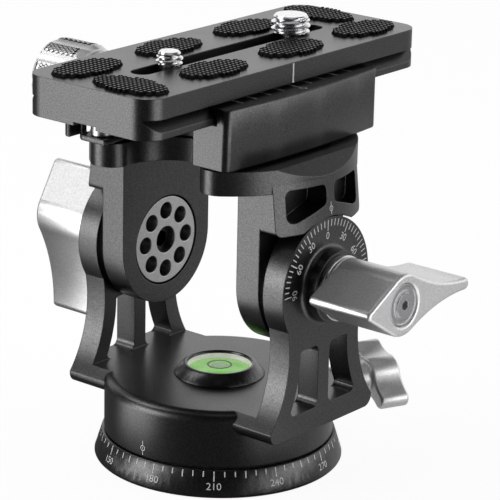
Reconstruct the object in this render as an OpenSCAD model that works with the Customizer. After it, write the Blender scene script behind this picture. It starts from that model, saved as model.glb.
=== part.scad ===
// Monopod tilt head. A graduated base ring carries a drum that pans, with two uprights on it.
// A cradle tilts between the uprights and carries a screw clamp with a dovetail camera plate.
// X is the tilt axis, Y runs along the plate, Z is up. The origin is on the pan axis under the base.

/* [Base] */
// Radius of the base ring near its foot
base_r = 30.3; // [29:0.1:36]
// How much the base ring's wall leans in towards the top
base_lean = 1.9; // [0.4:0.1:2]
// Height of the base ring
base_h = 6.6; // [5:0.1:10]
// Chamfer round the foot of the base ring
base_chamfer = 0.6; // [0.2:0.1:1.2]
// Radius of the hole for the monopod's stud
thread_r = 4.8; // [3:0.1:5.2]
// Wall of the threaded bush
insert_wall = 2.2; // [1.2:0.1:2.6]
// Depth of the threaded bush
insert_depth = 11; // [8:0.5:11.5]
// How deep the spindle is let into the base ring
spindle_seat = 2; // [1.4:0.1:2.6]
// Radius of the circle the spindle screws are on
spindle_screw_ring = 9.6; // [9:0.1:10.2]
// Radius of a spindle screw's shank
spindle_screw_r = 1.25; // [0.8:0.05:1.6]

/* [Pan] */
// Thickness of the bearing washer under the drum
pan_washer_t = 0.4; // [0.2:0.1:1]
// Radius of the spindle the drum turns on
spindle_r = 12; // [11.6:0.1:13.5]
// Running clearance round a turning shaft
run_gap = 0.05; // [0.02:0.01:0.08]
// Free clearance between pieces that must not touch
free_gap = 0.4; // [0.3:0.05:0.6]
// Radius of the spindle's neck
neck_r = 7.4; // [6.6:0.1:8]
// Depth of the spindle's top below the top of the drum
spindle_depth = 6.4; // [6:0.1:7]
// Thickness of the drum's lip above the spindle
lip_t = 1.5; // [1.2:0.1:1.6]
// Thickness of the washer under the cap
cap_washer_t = 0.4; // [0.2:0.1:0.5]
// Outer radius of the cap that holds the drum down
cap_r = 9.6; // [9:0.1:10]
// Thickness of the cap
cap_t = 1.6; // [1.3:0.1:1.7]
// Radius of a cap screw's shank
cap_screw_r = 1; // [0.7:0.05:1.2]
// Radius of the drum
drum_r = 27.9; // [26.5:0.1:28.2]
// Height of the drum
drum_h = 13.5; // [13:0.1:18]
// Rounding of the drum's upper edge
drum_edge_r = 2.4; // [0.5:0.1:2.8]

/* [Pan lock] */
// Direction of the pan lock, measured from the tilt axis
lock_angle = 66; // [62:1:70]
// Height of the pan lock above the foot of the drum
lock_rise = 6.4; // [5.6:0.1:6.6]
// Radius of the lock's stud
stud_r = 2; // [1.5:0.1:2.2]
// Radius of the brake shoe
shoe_r = 2.6; // [2.4:0.1:3]
// Length of the brake shoe
shoe_len = 3.5; // [2:0.1:5]
// Gap between the drum and the wing knob
knob_stand = 12.7; // [10:0.1:13]
// Depth of the wing knob along its stud
knob_depth = 7.8; // [6:0.1:8]
// Radius of the wing knob's hub
wing_hub_r = 4.6; // [4.2:0.1:5]
// Radius of the wing knob's ends
wing_tip_r = 2.1; // [1.6:0.1:2.6]
// Distance from the hub to the middle of each wing end
wing_reach = 8.3; // [8:0.1:8.8]
// Radius of the hollow between the hub and a wing
wing_hollow = 9; // [7:0.5:16]
// How far the wings lean at rest
wing_lean = 31; // [10:1:36]

/* [Level] */
// Radius of the level's housing at its foot
level_foot_r = 11.2; // [10.6:0.1:12.5]
// Radius of the level's housing at its rim
level_rim_r = 8.7; // [8.4:0.1:9.4]
// Height of the level's housing above the drum
level_rise = 2.7; // [2:0.1:4]
// Radius of the vial
vial_r = 7.9; // [6.5:0.1:8.1]
// Depth of the vial from the rim down
vial_depth = 3.4; // [3:0.1:3.8]
// Radius of the bubble
bubble_r = 2.1; // [1.5:0.1:2.6]

/* [Uprights] */
// Height of the tilt axis above the drum
pivot_rise = 29.9; // [28:0.1:34]
// Radius of the uprights' round heads
head_r = 16.1; // [15:0.1:16.4]
// Thickness of an upright
upright_t = 5.9; // [5:0.1:8]
// Half width of an upright at its waist
waist_w = 13; // [12:0.1:13.5]
// Height of the waist above the drum
waist_rise = 15.5; // [13:0.1:17]
// Half width of an upright at its foot
foot_w = 19.2; // [17:0.1:19.6]
// How far the feet hang below the drum's top
foot_drop = 5.5; // [4:0.1:6]
// Rounding of the feet's lower corners
foot_corner = 2.6; // [1:0.1:2.6]
// Height of the feet's toes above their lower edge
toe_rise = 3; // [2.8:0.1:3.6]
// Width of the rib between the two windows
rib_w = 4; // [2.5:0.1:6]
// Width of an upright's outer legs
leg_w = 4.2; // [3:0.1:5]
// Rounding of the windows' corners
window_corner = 1.8; // [0.8:0.1:2.2]
// Radius of the boss on each head
boss_r = 8.7; // [8:0.1:10]
// Height of the boss on each head
boss_h = 3.6; // [2:0.1:5]
// Rounding at the foot of the boss
boss_fillet = 1.2; // [0.4:0.1:2]

/* [Tilt pivot] */
// Radius of the tilt axle
axle_r = 5; // [4.6:0.1:5.4]
// Radius of the axle's threaded end
axle_thread_r = 4; // [3.6:0.1:4.3]
// Length of the axle's threaded end
axle_thread_len = 12; // [9:0.5:13]
// Wall of the bronze bushing round the axle
bush_wall = 1.4; // [1:0.1:2]
// Thickness of the friction washer
friction_t = 1.65; // [1.2:0.05:2.2]
// Radius of the friction washer
friction_r = 13; // [11:0.5:15]
// Length of the axle's spigot in the face nut
spigot_len = 1.3; // [0.8:0.1:2]
// Radius of the face nut
face_nut_r = 10.8; // [10.2:0.1:11.2]
// Thickness of the face nut
face_nut_t = 3.05; // [2.4:0.05:3.6]
// How far the face nut is sunk below the arm
face_sink = 0.15; // [0.05:0.05:0.4]
// Radius of the face nut's small holes
face_hole_r = 2.05; // [1.6:0.05:2.2]
// Radius of the circle the small holes are on
face_hole_ring = 7.35; // [6.9:0.05:7.8]
// Radius of the hole in the middle of the face nut
face_middle_r = 3.3; // [2.8:0.1:3.8]

/* [Tilt handles] */
// Thickness of the collar behind a handle
collar_t = 1.5; // [0.6:0.1:2]
// Radius of the collar behind a handle
collar_r = 7.8; // [6.6:0.1:8.4]
// Length of a handle along the axle
handle_len = 17.6; // [16.4:0.1:21]
// Radius of the handle's hub
handle_hub_r = 7.5; // [6.8:0.1:8]
// Distance from the axle to the middle of the nose
nose_reach = 12.2; // [11:0.1:14]
// Radius of the nose
nose_r = 1.3; // [0.8:0.1:2]
// Distance from the axle to the middle of the tail's end
tail_reach = 24.1; // [21:0.1:25.5]
// Radius of the tail's end
tail_r = 1.5; // [1.1:0.1:2]
// Radius of the hollow along the tail
tail_hollow = 45; // [35:1:80]
// Lean of the right handle below level
right_lean = 2; // [-20:1:20]
// Lean of the left handle from straight down
left_lean = 0; // [-15:1:15]
// Radius of the screw cap in the handle's end
cap_disc_r = 5; // [4.4:0.1:5.4]
// Depth of the screw cap
cap_disc_t = 1.5; // [1:0.1:2]
// Radius of the screw's button
button_r = 3; // [2.2:0.1:3.6]
// Radius of the screw's hexagon socket
socket_r = 1.15; // [0.8:0.05:1.6]

/* [Cradle] */
// Clear width between the cradle's arms
arm_gap = 35.1; // [33:0.1:38]
// Thickness of an arm
arm_t = 6.6; // [5.5:0.1:8]
// Half width of an arm and radius of its round end
arm_w = 15.7; // [14.5:0.1:16]
// Height of the platform's underside above the tilt axis
platform_rise = 24.1; // [23.6:0.1:27]
// Thickness of the platform
platform_t = 5.7; // [5.2:0.1:7]
// Radius of the platform
platform_r = 31.7; // [31:0.1:33.5]
// How far the hollow in the platform's front and back spreads past the lobes
notch_spread = 0.06; // [0.02:0.02:0.4]
// Rounding of the platform's four lobes
lobe_r = 4.9; // [4.5:0.1:5.6]
// Direction of the lobes, measured from the plate's direction
lobe_angle = 39; // [37:1:40]
// How far the ears hang below the platform
ear_drop = 10; // [8:0.1:10.6]
// How much the ears flare outwards at the bottom
ear_flare = 1.2; // [0:0.1:2]
// How far up the platform's side the spread of the ears runs out
ear_blend = 2; // [1:0.1:2.5]
// Gap between the ears and the uprights' heads
ear_gap = 0.6; // [0.4:0.1:1.2]
// Rounding of the ears' lower corners
ear_corner = 1.5; // [0.5:0.1:2]
// Half width of the web between the ear pockets
pocket_web = 1.4; // [0.8:0.1:2.5]
// Half width over both ear pockets
pocket_reach = 13; // [11:0.1:13.6]
// Rim between the ear pockets and the ear's inner arc
pocket_rim = 3.2; // [2.8:0.1:3.6]
// Rim between the ear pockets and the ear's lower edge
pocket_sill = 2.8; // [2.4:0.1:3.2]
// Depth of the ear pockets
pocket_depth = 5.2; // [3:0.1:5.6]
// Rounding of the pockets' corners
pocket_corner = 1.6; // [0.6:0.1:1.7]
// Height of the sloped facet on the platform's rim
facet_h = 3.3; // [1:0.1:4]
// Width of the sloped facet on the platform's rim
facet_w = 3.7; // [1:0.1:5]

/* [Clamp] */
// How far the clamp sits behind the tilt axis
clamp_shift = 1.7; // [-2:0.1:2]
// Height of the plate's seat above the platform
seat_h = 11.15; // [10.6:0.05:14]
// Half length of the seat block
seat_len = 13.5; // [12:0.1:16]
// Half length of the fixed jaw
jaw_len = 27.9; // [26:0.1:30]
// Half length of the moving jaw and of the floor beside it
moving_len = 29.8; // [27:0.1:31]
// Gap below the jaws
jaw_gap = 0.4; // [0.3:0.1:0.8]
// How far the jaws reach above the seat
jaw_rise = 3.8; // [3:0.05:4]
// Thickness of the fixed jaw in its middle
fixed_jaw_t = 4.8; // [4:0.1:6]
// How much the jaws' outer faces bow
jaw_bow = 1.5; // [0.5:0.1:3]
// Rounding of the jaws' upright corners
jaw_corner = 1.8; // [0.8:0.1:2.2]
// Radius of the hollows in the clamp's front and back
hollow_r = 12.4; // [11.4:0.1:12.8]
// Distance of the hollows' middles from the tilt axis
hollow_y = 19.4; // [18.6:0.1:20.4]
// Thickness of the clamp's floor
floor_t = 1.4; // [1.2:0.1:2.4]
// Height of the posts at the floor's outer corners
post_h = 4.4; // [2.6:0.1:5]
// Width of a post along the tilt axis
post_w = 1.2; // [0.8:0.1:2]
// Length of a post along the plate
post_len = 2.4; // [2:0.1:3]
// Reach of the floor under the moving jaw
floor_reach = 21.1; // [20:0.1:21.6]
// Thickness of the moving jaw in its middle
moving_jaw_t = 7.8; // [7:0.1:9]
// How far the moving jaw's bar hangs below the seat
bar_drop = 3.4; // [2.6:0.1:4]
// Thickness of the moving jaw's feet
foot_t = 3.6; // [2.6:0.1:4.4]
// Length of the moving jaw's feet
foot_len = 4.5; // [3.6:0.1:7]
// Gap between the seat block and the moving jaw
jaw_space = 1; // [0.6:0.1:2]
// Half width of the moving jaw's middle boss
boss_half = 12.5; // [12.2:0.1:15]
// How far the middle boss stands out of the moving jaw
boss_out = 3; // [1:0.1:5]
// Height of the clamp screw above the platform
screw_rise = 4.4; // [3.4:0.1:4.8]
// Radius of the clamp screw
screw_r = 2.5; // [2:0.1:2.6]
// How far the clamp screw reaches into the seat block
screw_reach = 16; // [10:0.5:20]
// Radius of a guide pin
guide_r = 1.5; // [1:0.1:1.8]
// Distance of each guide pin from the clamp screw
guide_offset = 9; // [7.5:0.1:9.6]
// How far a guide pin is let into the seat block
guide_hold = 6; // [4:0.1:7]
// How far a guide pin stands out of the seat block
guide_out = 8; // [6:0.1:9]
// Radius of a clamp bolt's shank
clamp_bolt_r = 1.6; // [1.2:0.1:2]
// Height of a clamp bolt's head
bolt_head_h = 2.6; // [2:0.1:3]
// How far a clamp bolt reaches into the seat block
bolt_hold = 5; // [3.6:0.1:6]
// Distance of each clamp bolt from the pan axis along the tilt axis
clamp_bolt_x = 8; // [6.5:0.1:9]
// Distance of each clamp bolt from the tilt axis
clamp_bolt_y = 5.4; // [5.2:0.1:5.8]
// Radius of a stop pin
stop_pin_r = 2.8; // [2:0.1:3]
// Height of a stop pin above the clamp's floor
stop_pin_h = 6.4; // [4:0.1:7]

/* [Clamp knob] */
// Radius of the clamp knob
knob_r = 9.6; // [9:0.1:11]
// Length of the clamp knob's gripping part
knob_len = 11.9; // [9:0.1:14]
// Length of the cone behind the grip
knob_cone = 1.8; // [1:0.1:3]
// Radius of the knob's collar
knob_collar_r = 8.3; // [7:0.1:8.8]
// Length of the knob's collar
knob_collar = 2.4; // [1:0.1:4]
// Radius of the knob's neck
knob_neck_r = 5.6; // [4.5:0.1:6.4]
// Chamfer where the neck meets the moving jaw
neck_chamfer = 1; // [0.6:0.1:1.4]
// Length of the knob's neck
knob_neck = 9.4; // [7:0.1:11]
// Number of flutes round the knob
flute_count = 9; // [6:1:10]
// Radius of a flute
flute_r = 4.5; // [3:0.1:6]
// Depth of a flute
flute_depth = 0.6; // [0.3:0.1:0.9]
// Turn of the flutes at rest, measured from the top
flute_turn = 7.5; // [0:0.5:20]

/* [Plate] */
// Length of the camera plate
plate_len = 100; // [90:1:120]
// Width of the camera plate
plate_w = 38; // [37.4:0.1:38.4]
// Rounding of the plate's corners
plate_corner = 5.5; // [3:0.1:6]
// Thickness of the plate above its dovetail
slab_t = 4.85; // [4.2:0.05:6]
// Height of the dovetail's slope
dovetail_h = 3; // [2.6:0.05:3.2]
// Height of the dovetail's edge
lip_h = 1.5; // [1:0.05:2]
// Width of the long slot
slot_w = 5.4; // [5.2:0.1:6.2]
// Length of the long slot
slot_len = 67; // [62:0.2:70]
// Width of the recess under the slot
recess_w = 15; // [14.4:0.1:17]
// Depth of the recess under the slot
recess_d = 5; // [4.6:0.1:5.4]
// Width of the shallow groove along the plate's underside
groove_w = 6.6; // [5:0.1:8]
// Depth of the shallow groove
groove_d = 0.8; // [0.4:0.1:1.2]
// Length of a pad
pad_len = 20.2; // [18:0.2:22]
// Width of a pad
pad_w = 11.2; // [10:0.1:12]
// Radius of a pad's ends
pad_end_r = 3.8; // [2.5:0.1:4.4]
// How far the pads are sunk into the plate
pad_sink = 1; // [0.4:0.1:1.6]
// How far the pads stand above the plate
pad_rise = 0.8; // [0.3:0.1:1.5]
// Spacing of the grooves that part a pad into studs
stud_pitch = 3.9; // [3.2:0.1:4.8]
// Width of a groove between two studs
stud_groove = 2.4; // [1:0.1:2.6]
// Depth of a groove between two studs
stud_depth = 0.55; // [0.2:0.05:1]
// Distance of the side pads from the plate's middle line
pad_side = 10.6; // [9.6:0.1:11.4]
// Spacing of the side pads
pad_pitch = 28; // [26.4:0.1:28.6]
// Distance of the middle side pad from the plate's middle
pad_shift = 9.6; // [9:0.1:10]
// Distance of the end pads from the plate's middle
pad_end_pos = 42.6; // [41.8:0.1:43]
// Offset of the end pads from the plate's middle line
pad_end_side = 7; // [6.8:0.1:7.2]

/* [Camera screws] */
// Radius of the small camera screw's thread
quarter_r = 3.175; // [2.9:0.025:3.4]
// Radius of the large camera screw's thread
large_r = 4.76; // [4.4:0.02:5]
// Radius of both screws' necks
screw_neck_r = 2.4; // [2:0.1:2.5]
// Length of the small screw's thread above the pads
quarter_len = 2.4; // [2:0.1:6]
// Length of the large screw's thread above the pads
large_len = 3.7; // [2:0.1:6]
// Radius of both screws' heads
head_disc_r = 6.5; // [5.5:0.1:6.8]
// Thickness of both screws' heads
head_disc_t = 2.6; // [1.6:0.1:3]
// Thickness of the clips on the screws' necks
clip_t = 0.8; // [0.5:0.1:1]
// Distance of the small screw from the plate's middle
quarter_pos = 21.6; // [18:0.1:24]
// Distance of the large screw from the plate's middle
large_pos = 22.7; // [18:0.1:24]

/* [Hidden] */
$fn = 96;
eps = 0.01;
insert_r = thread_r + insert_wall;
drum_z = base_h + pan_washer_t;
drum_top = drum_z + drum_h;
spindle_top = drum_top - spindle_depth;
lip_low = spindle_top + free_gap;
lip_top = lip_low + lip_t;
cap_z = lip_top + cap_washer_t;
cap_top = cap_z + cap_t;
well_r = cap_r + free_gap;
plug_z = cap_top + free_gap;
lock_z = drum_z + lock_rise;
shoe_in = spindle_r + free_gap;
shoe_out = shoe_in + shoe_len;
knob_in = drum_r + knob_stand;
knob_out = knob_in + knob_depth;
vial_top = drum_top + level_rise;
vial_floor = vial_top - vial_depth;
tilt_z = drum_top + pivot_rise;
waist_z = drum_top + waist_rise;
toe_z = drum_top - foot_drop + toe_rise;
flank_r = (pow(foot_w - waist_w, 2) + pow(waist_z - toe_z, 2)) / (2 * (foot_w - waist_w));
flank_y = waist_w + flank_r;
window_top = waist_z;
window_far = flank_y - sqrt(pow(flank_r + leg_w, 2) - pow(waist_z - drum_top, 2));
window_near = flank_y - flank_r - leg_w;
arm_in = arm_gap / 2;
arm_out = arm_in + arm_t;
up_in = arm_out + friction_t;
up_out = up_in + upright_t;
boss_end = up_out + boss_h;
collar_end = boss_end + collar_t;
handle_end = collar_end + handle_len;
nut_back = arm_in + face_sink + face_nut_t;
spigot_in = nut_back - spigot_len;
bush_r = axle_r + run_gap + bush_wall;
axle_end = boss_end + axle_thread_len;
plat_z = tilt_z + platform_rise;
plat_top = plat_z + platform_t;
ear_low = plat_z - ear_drop;
ear_slope = ear_flare / (ear_drop + ear_blend);
ear_arc = head_r + ear_gap;
pocket_top = plat_z + 0.5;
pocket_arc = ear_arc + pocket_rim;
pocket_low = ear_low + pocket_sill;
lobe_c = platform_r - lobe_r;
lobe_x = lobe_c * sin(lobe_angle);
lobe_y = lobe_c * cos(lobe_angle);
notch_r = lobe_x - lobe_r + notch_spread;
notch_y = lobe_y - sqrt(pow(notch_r + lobe_r, 2) - pow(lobe_x, 2));
seat_z = plat_top + seat_h;
jaw_z = plat_top + jaw_gap;
jaw_top = seat_z + jaw_rise;
half_w = plate_w / 2;
slope_z = seat_z + lip_h;
slab_z = slope_z + dovetail_h;
plate_top = slab_z + slab_t;
jaw_wall = half_w + 0.3;
claw_x = half_w - (jaw_top - slope_z);
fixed_out = jaw_wall + fixed_jaw_t;
moving_out = jaw_wall + moving_jaw_t;
block_end = jaw_wall - jaw_space;
boss_face = moving_out + boss_out;
screw_z = plat_top + screw_rise;
knob_a = boss_face + knob_neck;
knob_b = knob_a + knob_collar;
knob_c = knob_b + knob_cone;
knob_d = knob_c + knob_len;
pad_arc = (pow(pad_len / 2 - pad_end_r, 2) + pow(pad_w / 2, 2) - pow(pad_end_r, 2))
    / (2 * (pad_w / 2 - pad_end_r));
recess_top = seat_z + recess_d;
head_z = recess_top - clip_t - head_disc_t;
pin_x = floor_reach - stop_pin_r - 2.3;
pin_y = moving_len - stop_pin_r - 0.6;
bolt_head_r = 1.8 * clamp_bolt_r;
bolt_top = plat_top + bolt_hold;
bar_z = seat_z - bar_drop;
floor_z = jaw_z + floor_t;
guide_in = block_end - guide_hold;
guide_tip = block_end + guide_out;
clip_x = jaw_wall + free_gap;
screw_clip_r = screw_rise - free_gap;
thread_z = plate_top + pad_rise + 0.1;

// Which piece to draw, or all of them

function unit(v) = v / norm(v);
function flank_px(hub, tip, reach, hollow) =
    (pow(hub + hollow, 2) - pow(tip + hollow, 2) + pow(reach, 2)) / (2 * reach);
function flank_py(hub, hollow, px) = sqrt(pow(hub + hollow, 2) - pow(px, 2));

// Round bar along X between two stations, on the axis
module x_bar(r, x0, x1) {
    translate([x0, 0, 0])
        rotate([0, 90, 0])
            cylinder(r = r, h = x1 - x0);
}

// Flat shape in Y and Z, drawn out along X between two stations
module x_prism(x0, x1) {
    translate([x0, 0, 0])
        rotate([90, 0, 90])
            linear_extrude(height = x1 - x0)
                children();
}

// Flat shape in X and Z, drawn out along Y evenly to both sides
module y_prism(half) {
    translate([0, half, 0])
        rotate([90, 0, 0])
            linear_extrude(height = 2 * half)
                children();
}

// Pipe standing on Z between two heights
module z_pipe(outer, inner, z0, z1) {
    difference() {
        translate([0, 0, z0])
            cylinder(r = outer, h = z1 - z0);
        translate([0, 0, z0 - 1])
            cylinder(r = inner, h = z1 - z0 + 2);
    }
}

// Convex outline with every corner rounded to the same radius
module rounded(points, r) {
    count = len(points);
    arms = [for (i = [0 : count - 1]) [
        unit(points[(i + count - 1) % count] - points[i]),
        unit(points[(i + 1) % count] - points[i])]];
    half = [for (a = arms) acos(a[0] * a[1]) / 2];
    polygon([for (i = [0 : count - 1]) for (k = [0 : 1]) points[i] + arms[i][k] * r / tan(half[i])]);
    for (i = [0 : count - 1])
        translate(points[i] + unit(arms[i][0] + arms[i][1]) * r / sin(half[i]))
            circle(r = r);
}

// Straight block with rounded corners, seen from above
module slab_outline(x0, x1, half, r) {
    rounded([[x0, -half], [x1, -half], [x1, half], [x0, half]], r);
}

// Hub with a hollow-sided tail that ends in a small round
module tail_outline(hub, tip, reach, hollow) {
    px = flank_px(hub, tip, reach, hollow);
    py = flank_py(hub, hollow, px);
    near = px * hub / (hub + hollow);
    far = reach + (px - reach) * tip / (tip + hollow);
    difference() {
        translate([near, -hub])
            square([far - near, 2 * hub]);
        for (side = [-1, 1])
            translate([px, side * py])
                circle(r = hollow + eps, $fn = 240);
    }
    circle(r = hub);
    translate([reach, 0])
        circle(r = tip);
}

// Drop-shaped end view of a tilt handle, the nose one way and the tail the other
module handle_outline() {
    swing = acos((handle_hub_r - nose_r) / nose_reach);
    edge = [-cos(swing), sin(swing)];
    nose = [-nose_reach, 0];
    below = [edge[0], -edge[1]];
    polygon([[0, 0], edge * (handle_hub_r - eps), nose + edge * (nose_r - eps),
        nose + below * (nose_r - eps), below * (handle_hub_r - eps)]);
    translate(nose)
        circle(r = nose_r);
    tail_outline(handle_hub_r, tail_r, tail_reach, tail_hollow);
}

// Outline of the platform with a hollow in its front and back
module platform_outline() {
    difference() {
        circle(r = platform_r, $fn = 180);
        for (way = [0 : 1])
            rotate(180 * way) {
                difference() {
                    polygon([[0, -notch_y], [lobe_x, -lobe_y], [2 * lobe_x, -2 * lobe_y],
                        [-2 * lobe_x, -2 * lobe_y], [-lobe_x, -lobe_y]]);
                    translate([lobe_x, -lobe_y])
                        circle(r = lobe_r + eps);
                    translate([-lobe_x, -lobe_y])
                        circle(r = lobe_r + eps);
                }
                translate([0, -notch_y])
                    circle(r = notch_r);
            }
    }
}

// Side view of an upright without its windows
module upright_outline() {
    translate([0, tilt_z])
        circle(r = head_r);
    difference() {
        rounded([[-foot_w, drum_top - foot_drop], [foot_w, drum_top - foot_drop],
            [foot_w, tilt_z - head_r / 3], [-foot_w, tilt_z - head_r / 3]], foot_corner);
        for (side = [-1, 1])
            translate([side * flank_y, waist_z])
                circle(r = flank_r, $fn = 240);
    }
}

// One window of an upright
module window_outline() {
    difference() {
        rounded([[rib_w / 2, drum_top], [window_far, drum_top], [window_near + 0.2, window_top],
            [rib_w / 2, window_top]], window_corner);
        translate([flank_y, waist_z])
            circle(r = flank_r + leg_w, $fn = 240);
    }
}

// Outline of a jaw seen from above, bowed outside and straight inside
module jaw_outline(inside, outside, half) {
    bow_r = (pow(half, 2) + pow(jaw_bow, 2)) / (2 * jaw_bow);
    side_y = half - jaw_corner - eps;
    round_x = outside - bow_r + sqrt(pow(bow_r - jaw_corner, 2) - pow(side_y, 2));
    touch = side_y * bow_r / (bow_r - jaw_corner);
    intersection() {
        translate([inside, -2 * half])
            square(4 * half);
        union() {
            intersection() {
                translate([outside - bow_r, 0])
                    circle(r = bow_r, $fn = 360);
                translate([inside, -touch])
                    square([2 * half, 2 * touch]);
            }
            translate([inside, -half])
                square([round_x - inside, 2 * half]);
            for (side = [-1, 1])
                translate([round_x, side * side_y])
                    circle(r = jaw_corner + eps);
        }
    }
}

// Oval outline of a pad, with its long side along Y
module pad_outline() {
    reach = pad_len / 2 - pad_end_r;
    touch = reach * pad_arc / (pad_arc - pad_end_r);
    intersection() {
        translate([pad_arc - pad_w / 2, 0])
            circle(r = pad_arc, $fn = 240);
        translate([pad_w / 2 - pad_arc, 0])
            circle(r = pad_arc, $fn = 240);
        square([pad_w, 2 * touch], center = true);
    }
    for (side = [-1, 1])
        translate([0, side * reach])
            circle(r = pad_end_r);
}

// Places a pad outline at each of the eight pad positions
module pad_places() {
    for (turn = [0 : 1])
        rotate(180 * turn) {
            for (step = [-1 : 1])
                translate([-pad_side, step * pad_pitch - pad_shift])
                    children();
            translate([-pad_end_side, pad_end_pos])
                rotate(90)
                    children();
        }
}

module base_ring() {
    color([0.08, 0.08, 0.09])
    difference() {
        rotate_extrude()
            polygon([[0, 0], [base_r - base_chamfer, 0], [base_r, base_chamfer],
                [base_r - base_lean, base_h], [0, base_h]]);
        translate([0, 0, -1])
            cylinder(r = insert_r, h = base_h + 2);
        translate([0, 0, base_h - spindle_seat])
            cylinder(r = spindle_r, h = spindle_seat + 1);
        for (turn = [0 : 2])
            rotate(120 * turn)
                translate([spindle_screw_ring, 0, 0]) {
                    translate([0, 0, -1])
                        cylinder(r = spindle_screw_r, h = base_h + 2);
                    translate([0, 0, -eps])
                        cylinder(r1 = 2 * spindle_screw_r + eps, r2 = spindle_screw_r,
                            h = spindle_screw_r + eps);
                }
    }
}

module thread_insert() {
    color([0.72, 0.72, 0.74])
    z_pipe(insert_r, thread_r, 0, insert_depth);
}

module pan_spindle() {
    color([0.7, 0.6, 0.38])
    difference() {
        union() {
            translate([0, 0, base_h - spindle_seat])
                cylinder(r = spindle_r, h = spindle_top - base_h + spindle_seat);
            translate([0, 0, spindle_top])
                cylinder(r = neck_r, h = cap_z - spindle_top);
        }
        cylinder(r = insert_r, h = insert_depth);
        for (turn = [0 : 2])
            rotate(120 * turn) {
                translate([spindle_screw_ring, 0, 0])
                    cylinder(r = spindle_screw_r, h = base_h + 3);
                rotate(60)
                    translate([neck_r - 2.4, 0, cap_z - 2.4])
                        cylinder(r = cap_screw_r, h = 4);
            }
    }
}

module spindle_screws() {
    color([0.62, 0.62, 0.65])
    for (turn = [0 : 2])
        rotate(120 * turn)
            translate([spindle_screw_ring, 0, 0]) {
                cylinder(r1 = 2 * spindle_screw_r, r2 = spindle_screw_r, h = spindle_screw_r);
                cylinder(r = spindle_screw_r, h = base_h + 3);
            }
}

module pan_washer() {
    color([0.85, 0.84, 0.8])
    z_pipe(base_r - base_lean - 2, spindle_r + free_gap, base_h, drum_z);
}

module cap_washer() {
    color([0.85, 0.84, 0.8])
    z_pipe(cap_r, neck_r + free_gap, lip_top, cap_z);
}

module retaining_cap() {
    color([0.6, 0.6, 0.62])
    difference() {
        translate([0, 0, cap_z])
            cylinder(r = cap_r, h = cap_t);
        for (turn = [0 : 2])
            rotate(120 * turn + 60)
                translate([neck_r - 2.4, 0, 0]) {
                    translate([0, 0, cap_z - 1])
                        cylinder(r = cap_screw_r, h = cap_t + 2);
                    translate([0, 0, cap_top - cap_screw_r])
                        cylinder(r1 = cap_screw_r, r2 = 2 * cap_screw_r + eps, h = cap_screw_r + eps);
                }
    }
}

module cap_screws() {
    color([0.62, 0.62, 0.65])
    for (turn = [0 : 2])
        rotate(120 * turn + 60)
            translate([neck_r - 2.4, 0, 0]) {
                translate([0, 0, cap_z - 2.4])
                    cylinder(r = cap_screw_r, h = cap_t + 2.4);
                translate([0, 0, cap_top - cap_screw_r])
                    cylinder(r1 = cap_screw_r, r2 = 2 * cap_screw_r, h = cap_screw_r);
            }
}

module upright_side() {
    difference() {
        union() {
            x_prism(up_in, up_out)
                upright_outline();
            x_prism(arm_in, up_out)
                intersection() {
                    upright_outline();
                    translate([-2 * foot_w, 0])
                        square([4 * foot_w, drum_top]);
                }
            translate([0, 0, tilt_z])
                x_bar(boss_r, up_out - 1, boss_end);
            translate([up_out, 0, tilt_z])
                rotate([0, 90, 0])
                    rotate_extrude()
                        difference() {
                            translate([boss_r - 1, -0.5])
                                square([boss_fillet + 1, boss_fillet + 0.5]);
                            translate([boss_r + boss_fillet, boss_fillet])
                                circle(r = boss_fillet);
                        }
        }
        x_prism(up_in - 1, up_out + 1)
            for (side = [0 : 1])
                mirror([side, 0])
                    window_outline();
        translate([0, 0, tilt_z])
            x_bar(bush_r, up_in - 1, boss_end + 1);
    }
}

module pan_yoke() {
    color([0.08, 0.08, 0.09])
    difference() {
        union() {
            translate([0, 0, drum_z])
                rotate_extrude($fn = 180) {
                    square([drum_r - drum_edge_r, drum_h]);
                    square([drum_r, drum_h - drum_edge_r]);
                    translate([drum_r - drum_edge_r, drum_h - drum_edge_r])
                        circle(r = drum_edge_r);
                }
            upright_side();
            mirror([1, 0, 0])
                upright_side();
        }
        translate([0, 0, drum_z - 1])
            cylinder(r = spindle_r + run_gap, h = lip_low - drum_z + 1);
        translate([0, 0, drum_z])
            cylinder(r = neck_r + free_gap, h = drum_h);
        translate([0, 0, lip_top])
            cylinder(r = well_r, h = drum_h);
        rotate(lock_angle)
            translate([0, 0, lock_z]) {
                x_bar(shoe_r, spindle_r - 1, shoe_out);
                x_bar(stud_r + run_gap, shoe_out - 1, drum_r + 1);
            }
    }
}

module brake_shoe() {
    color([0.7, 0.58, 0.3])
    rotate(lock_angle)
        translate([0, 0, lock_z])
            x_bar(shoe_r, shoe_in, shoe_out);
}

module pan_lock_stud() {
    color([0.62, 0.62, 0.65])
    rotate(lock_angle)
        translate([0, 0, lock_z])
            x_bar(stud_r, shoe_out, knob_out - 2);
}

module pan_lock_knob() {
    color([0.78, 0.78, 0.79])
    rotate(lock_angle)
        translate([0, 0, lock_z])
            difference() {
                union() {
                    x_prism(knob_in, knob_out)
                        rotate(wing_lean)
                            for (turn = [0 : 1])
                                rotate(180 * turn)
                                    tail_outline(wing_hub_r, wing_tip_r, wing_reach, wing_hollow);
                    x_bar(wing_hub_r - 1, drum_r + 0.4, knob_in + 1);
                }
                x_bar(stud_r, drum_r, knob_out - 2);
            }
}

module level_cup() {
    color([0.07, 0.07, 0.08])
    difference() {
        union() {
            translate([0, 0, drum_top])
                cylinder(r1 = level_foot_r, r2 = level_rim_r, h = level_rise);
            translate([0, 0, plug_z])
                cylinder(r = well_r, h = drum_top - plug_z + eps);
        }
        translate([0, 0, vial_floor])
            cylinder(r = vial_r, h = vial_depth + 1);
    }
}

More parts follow.
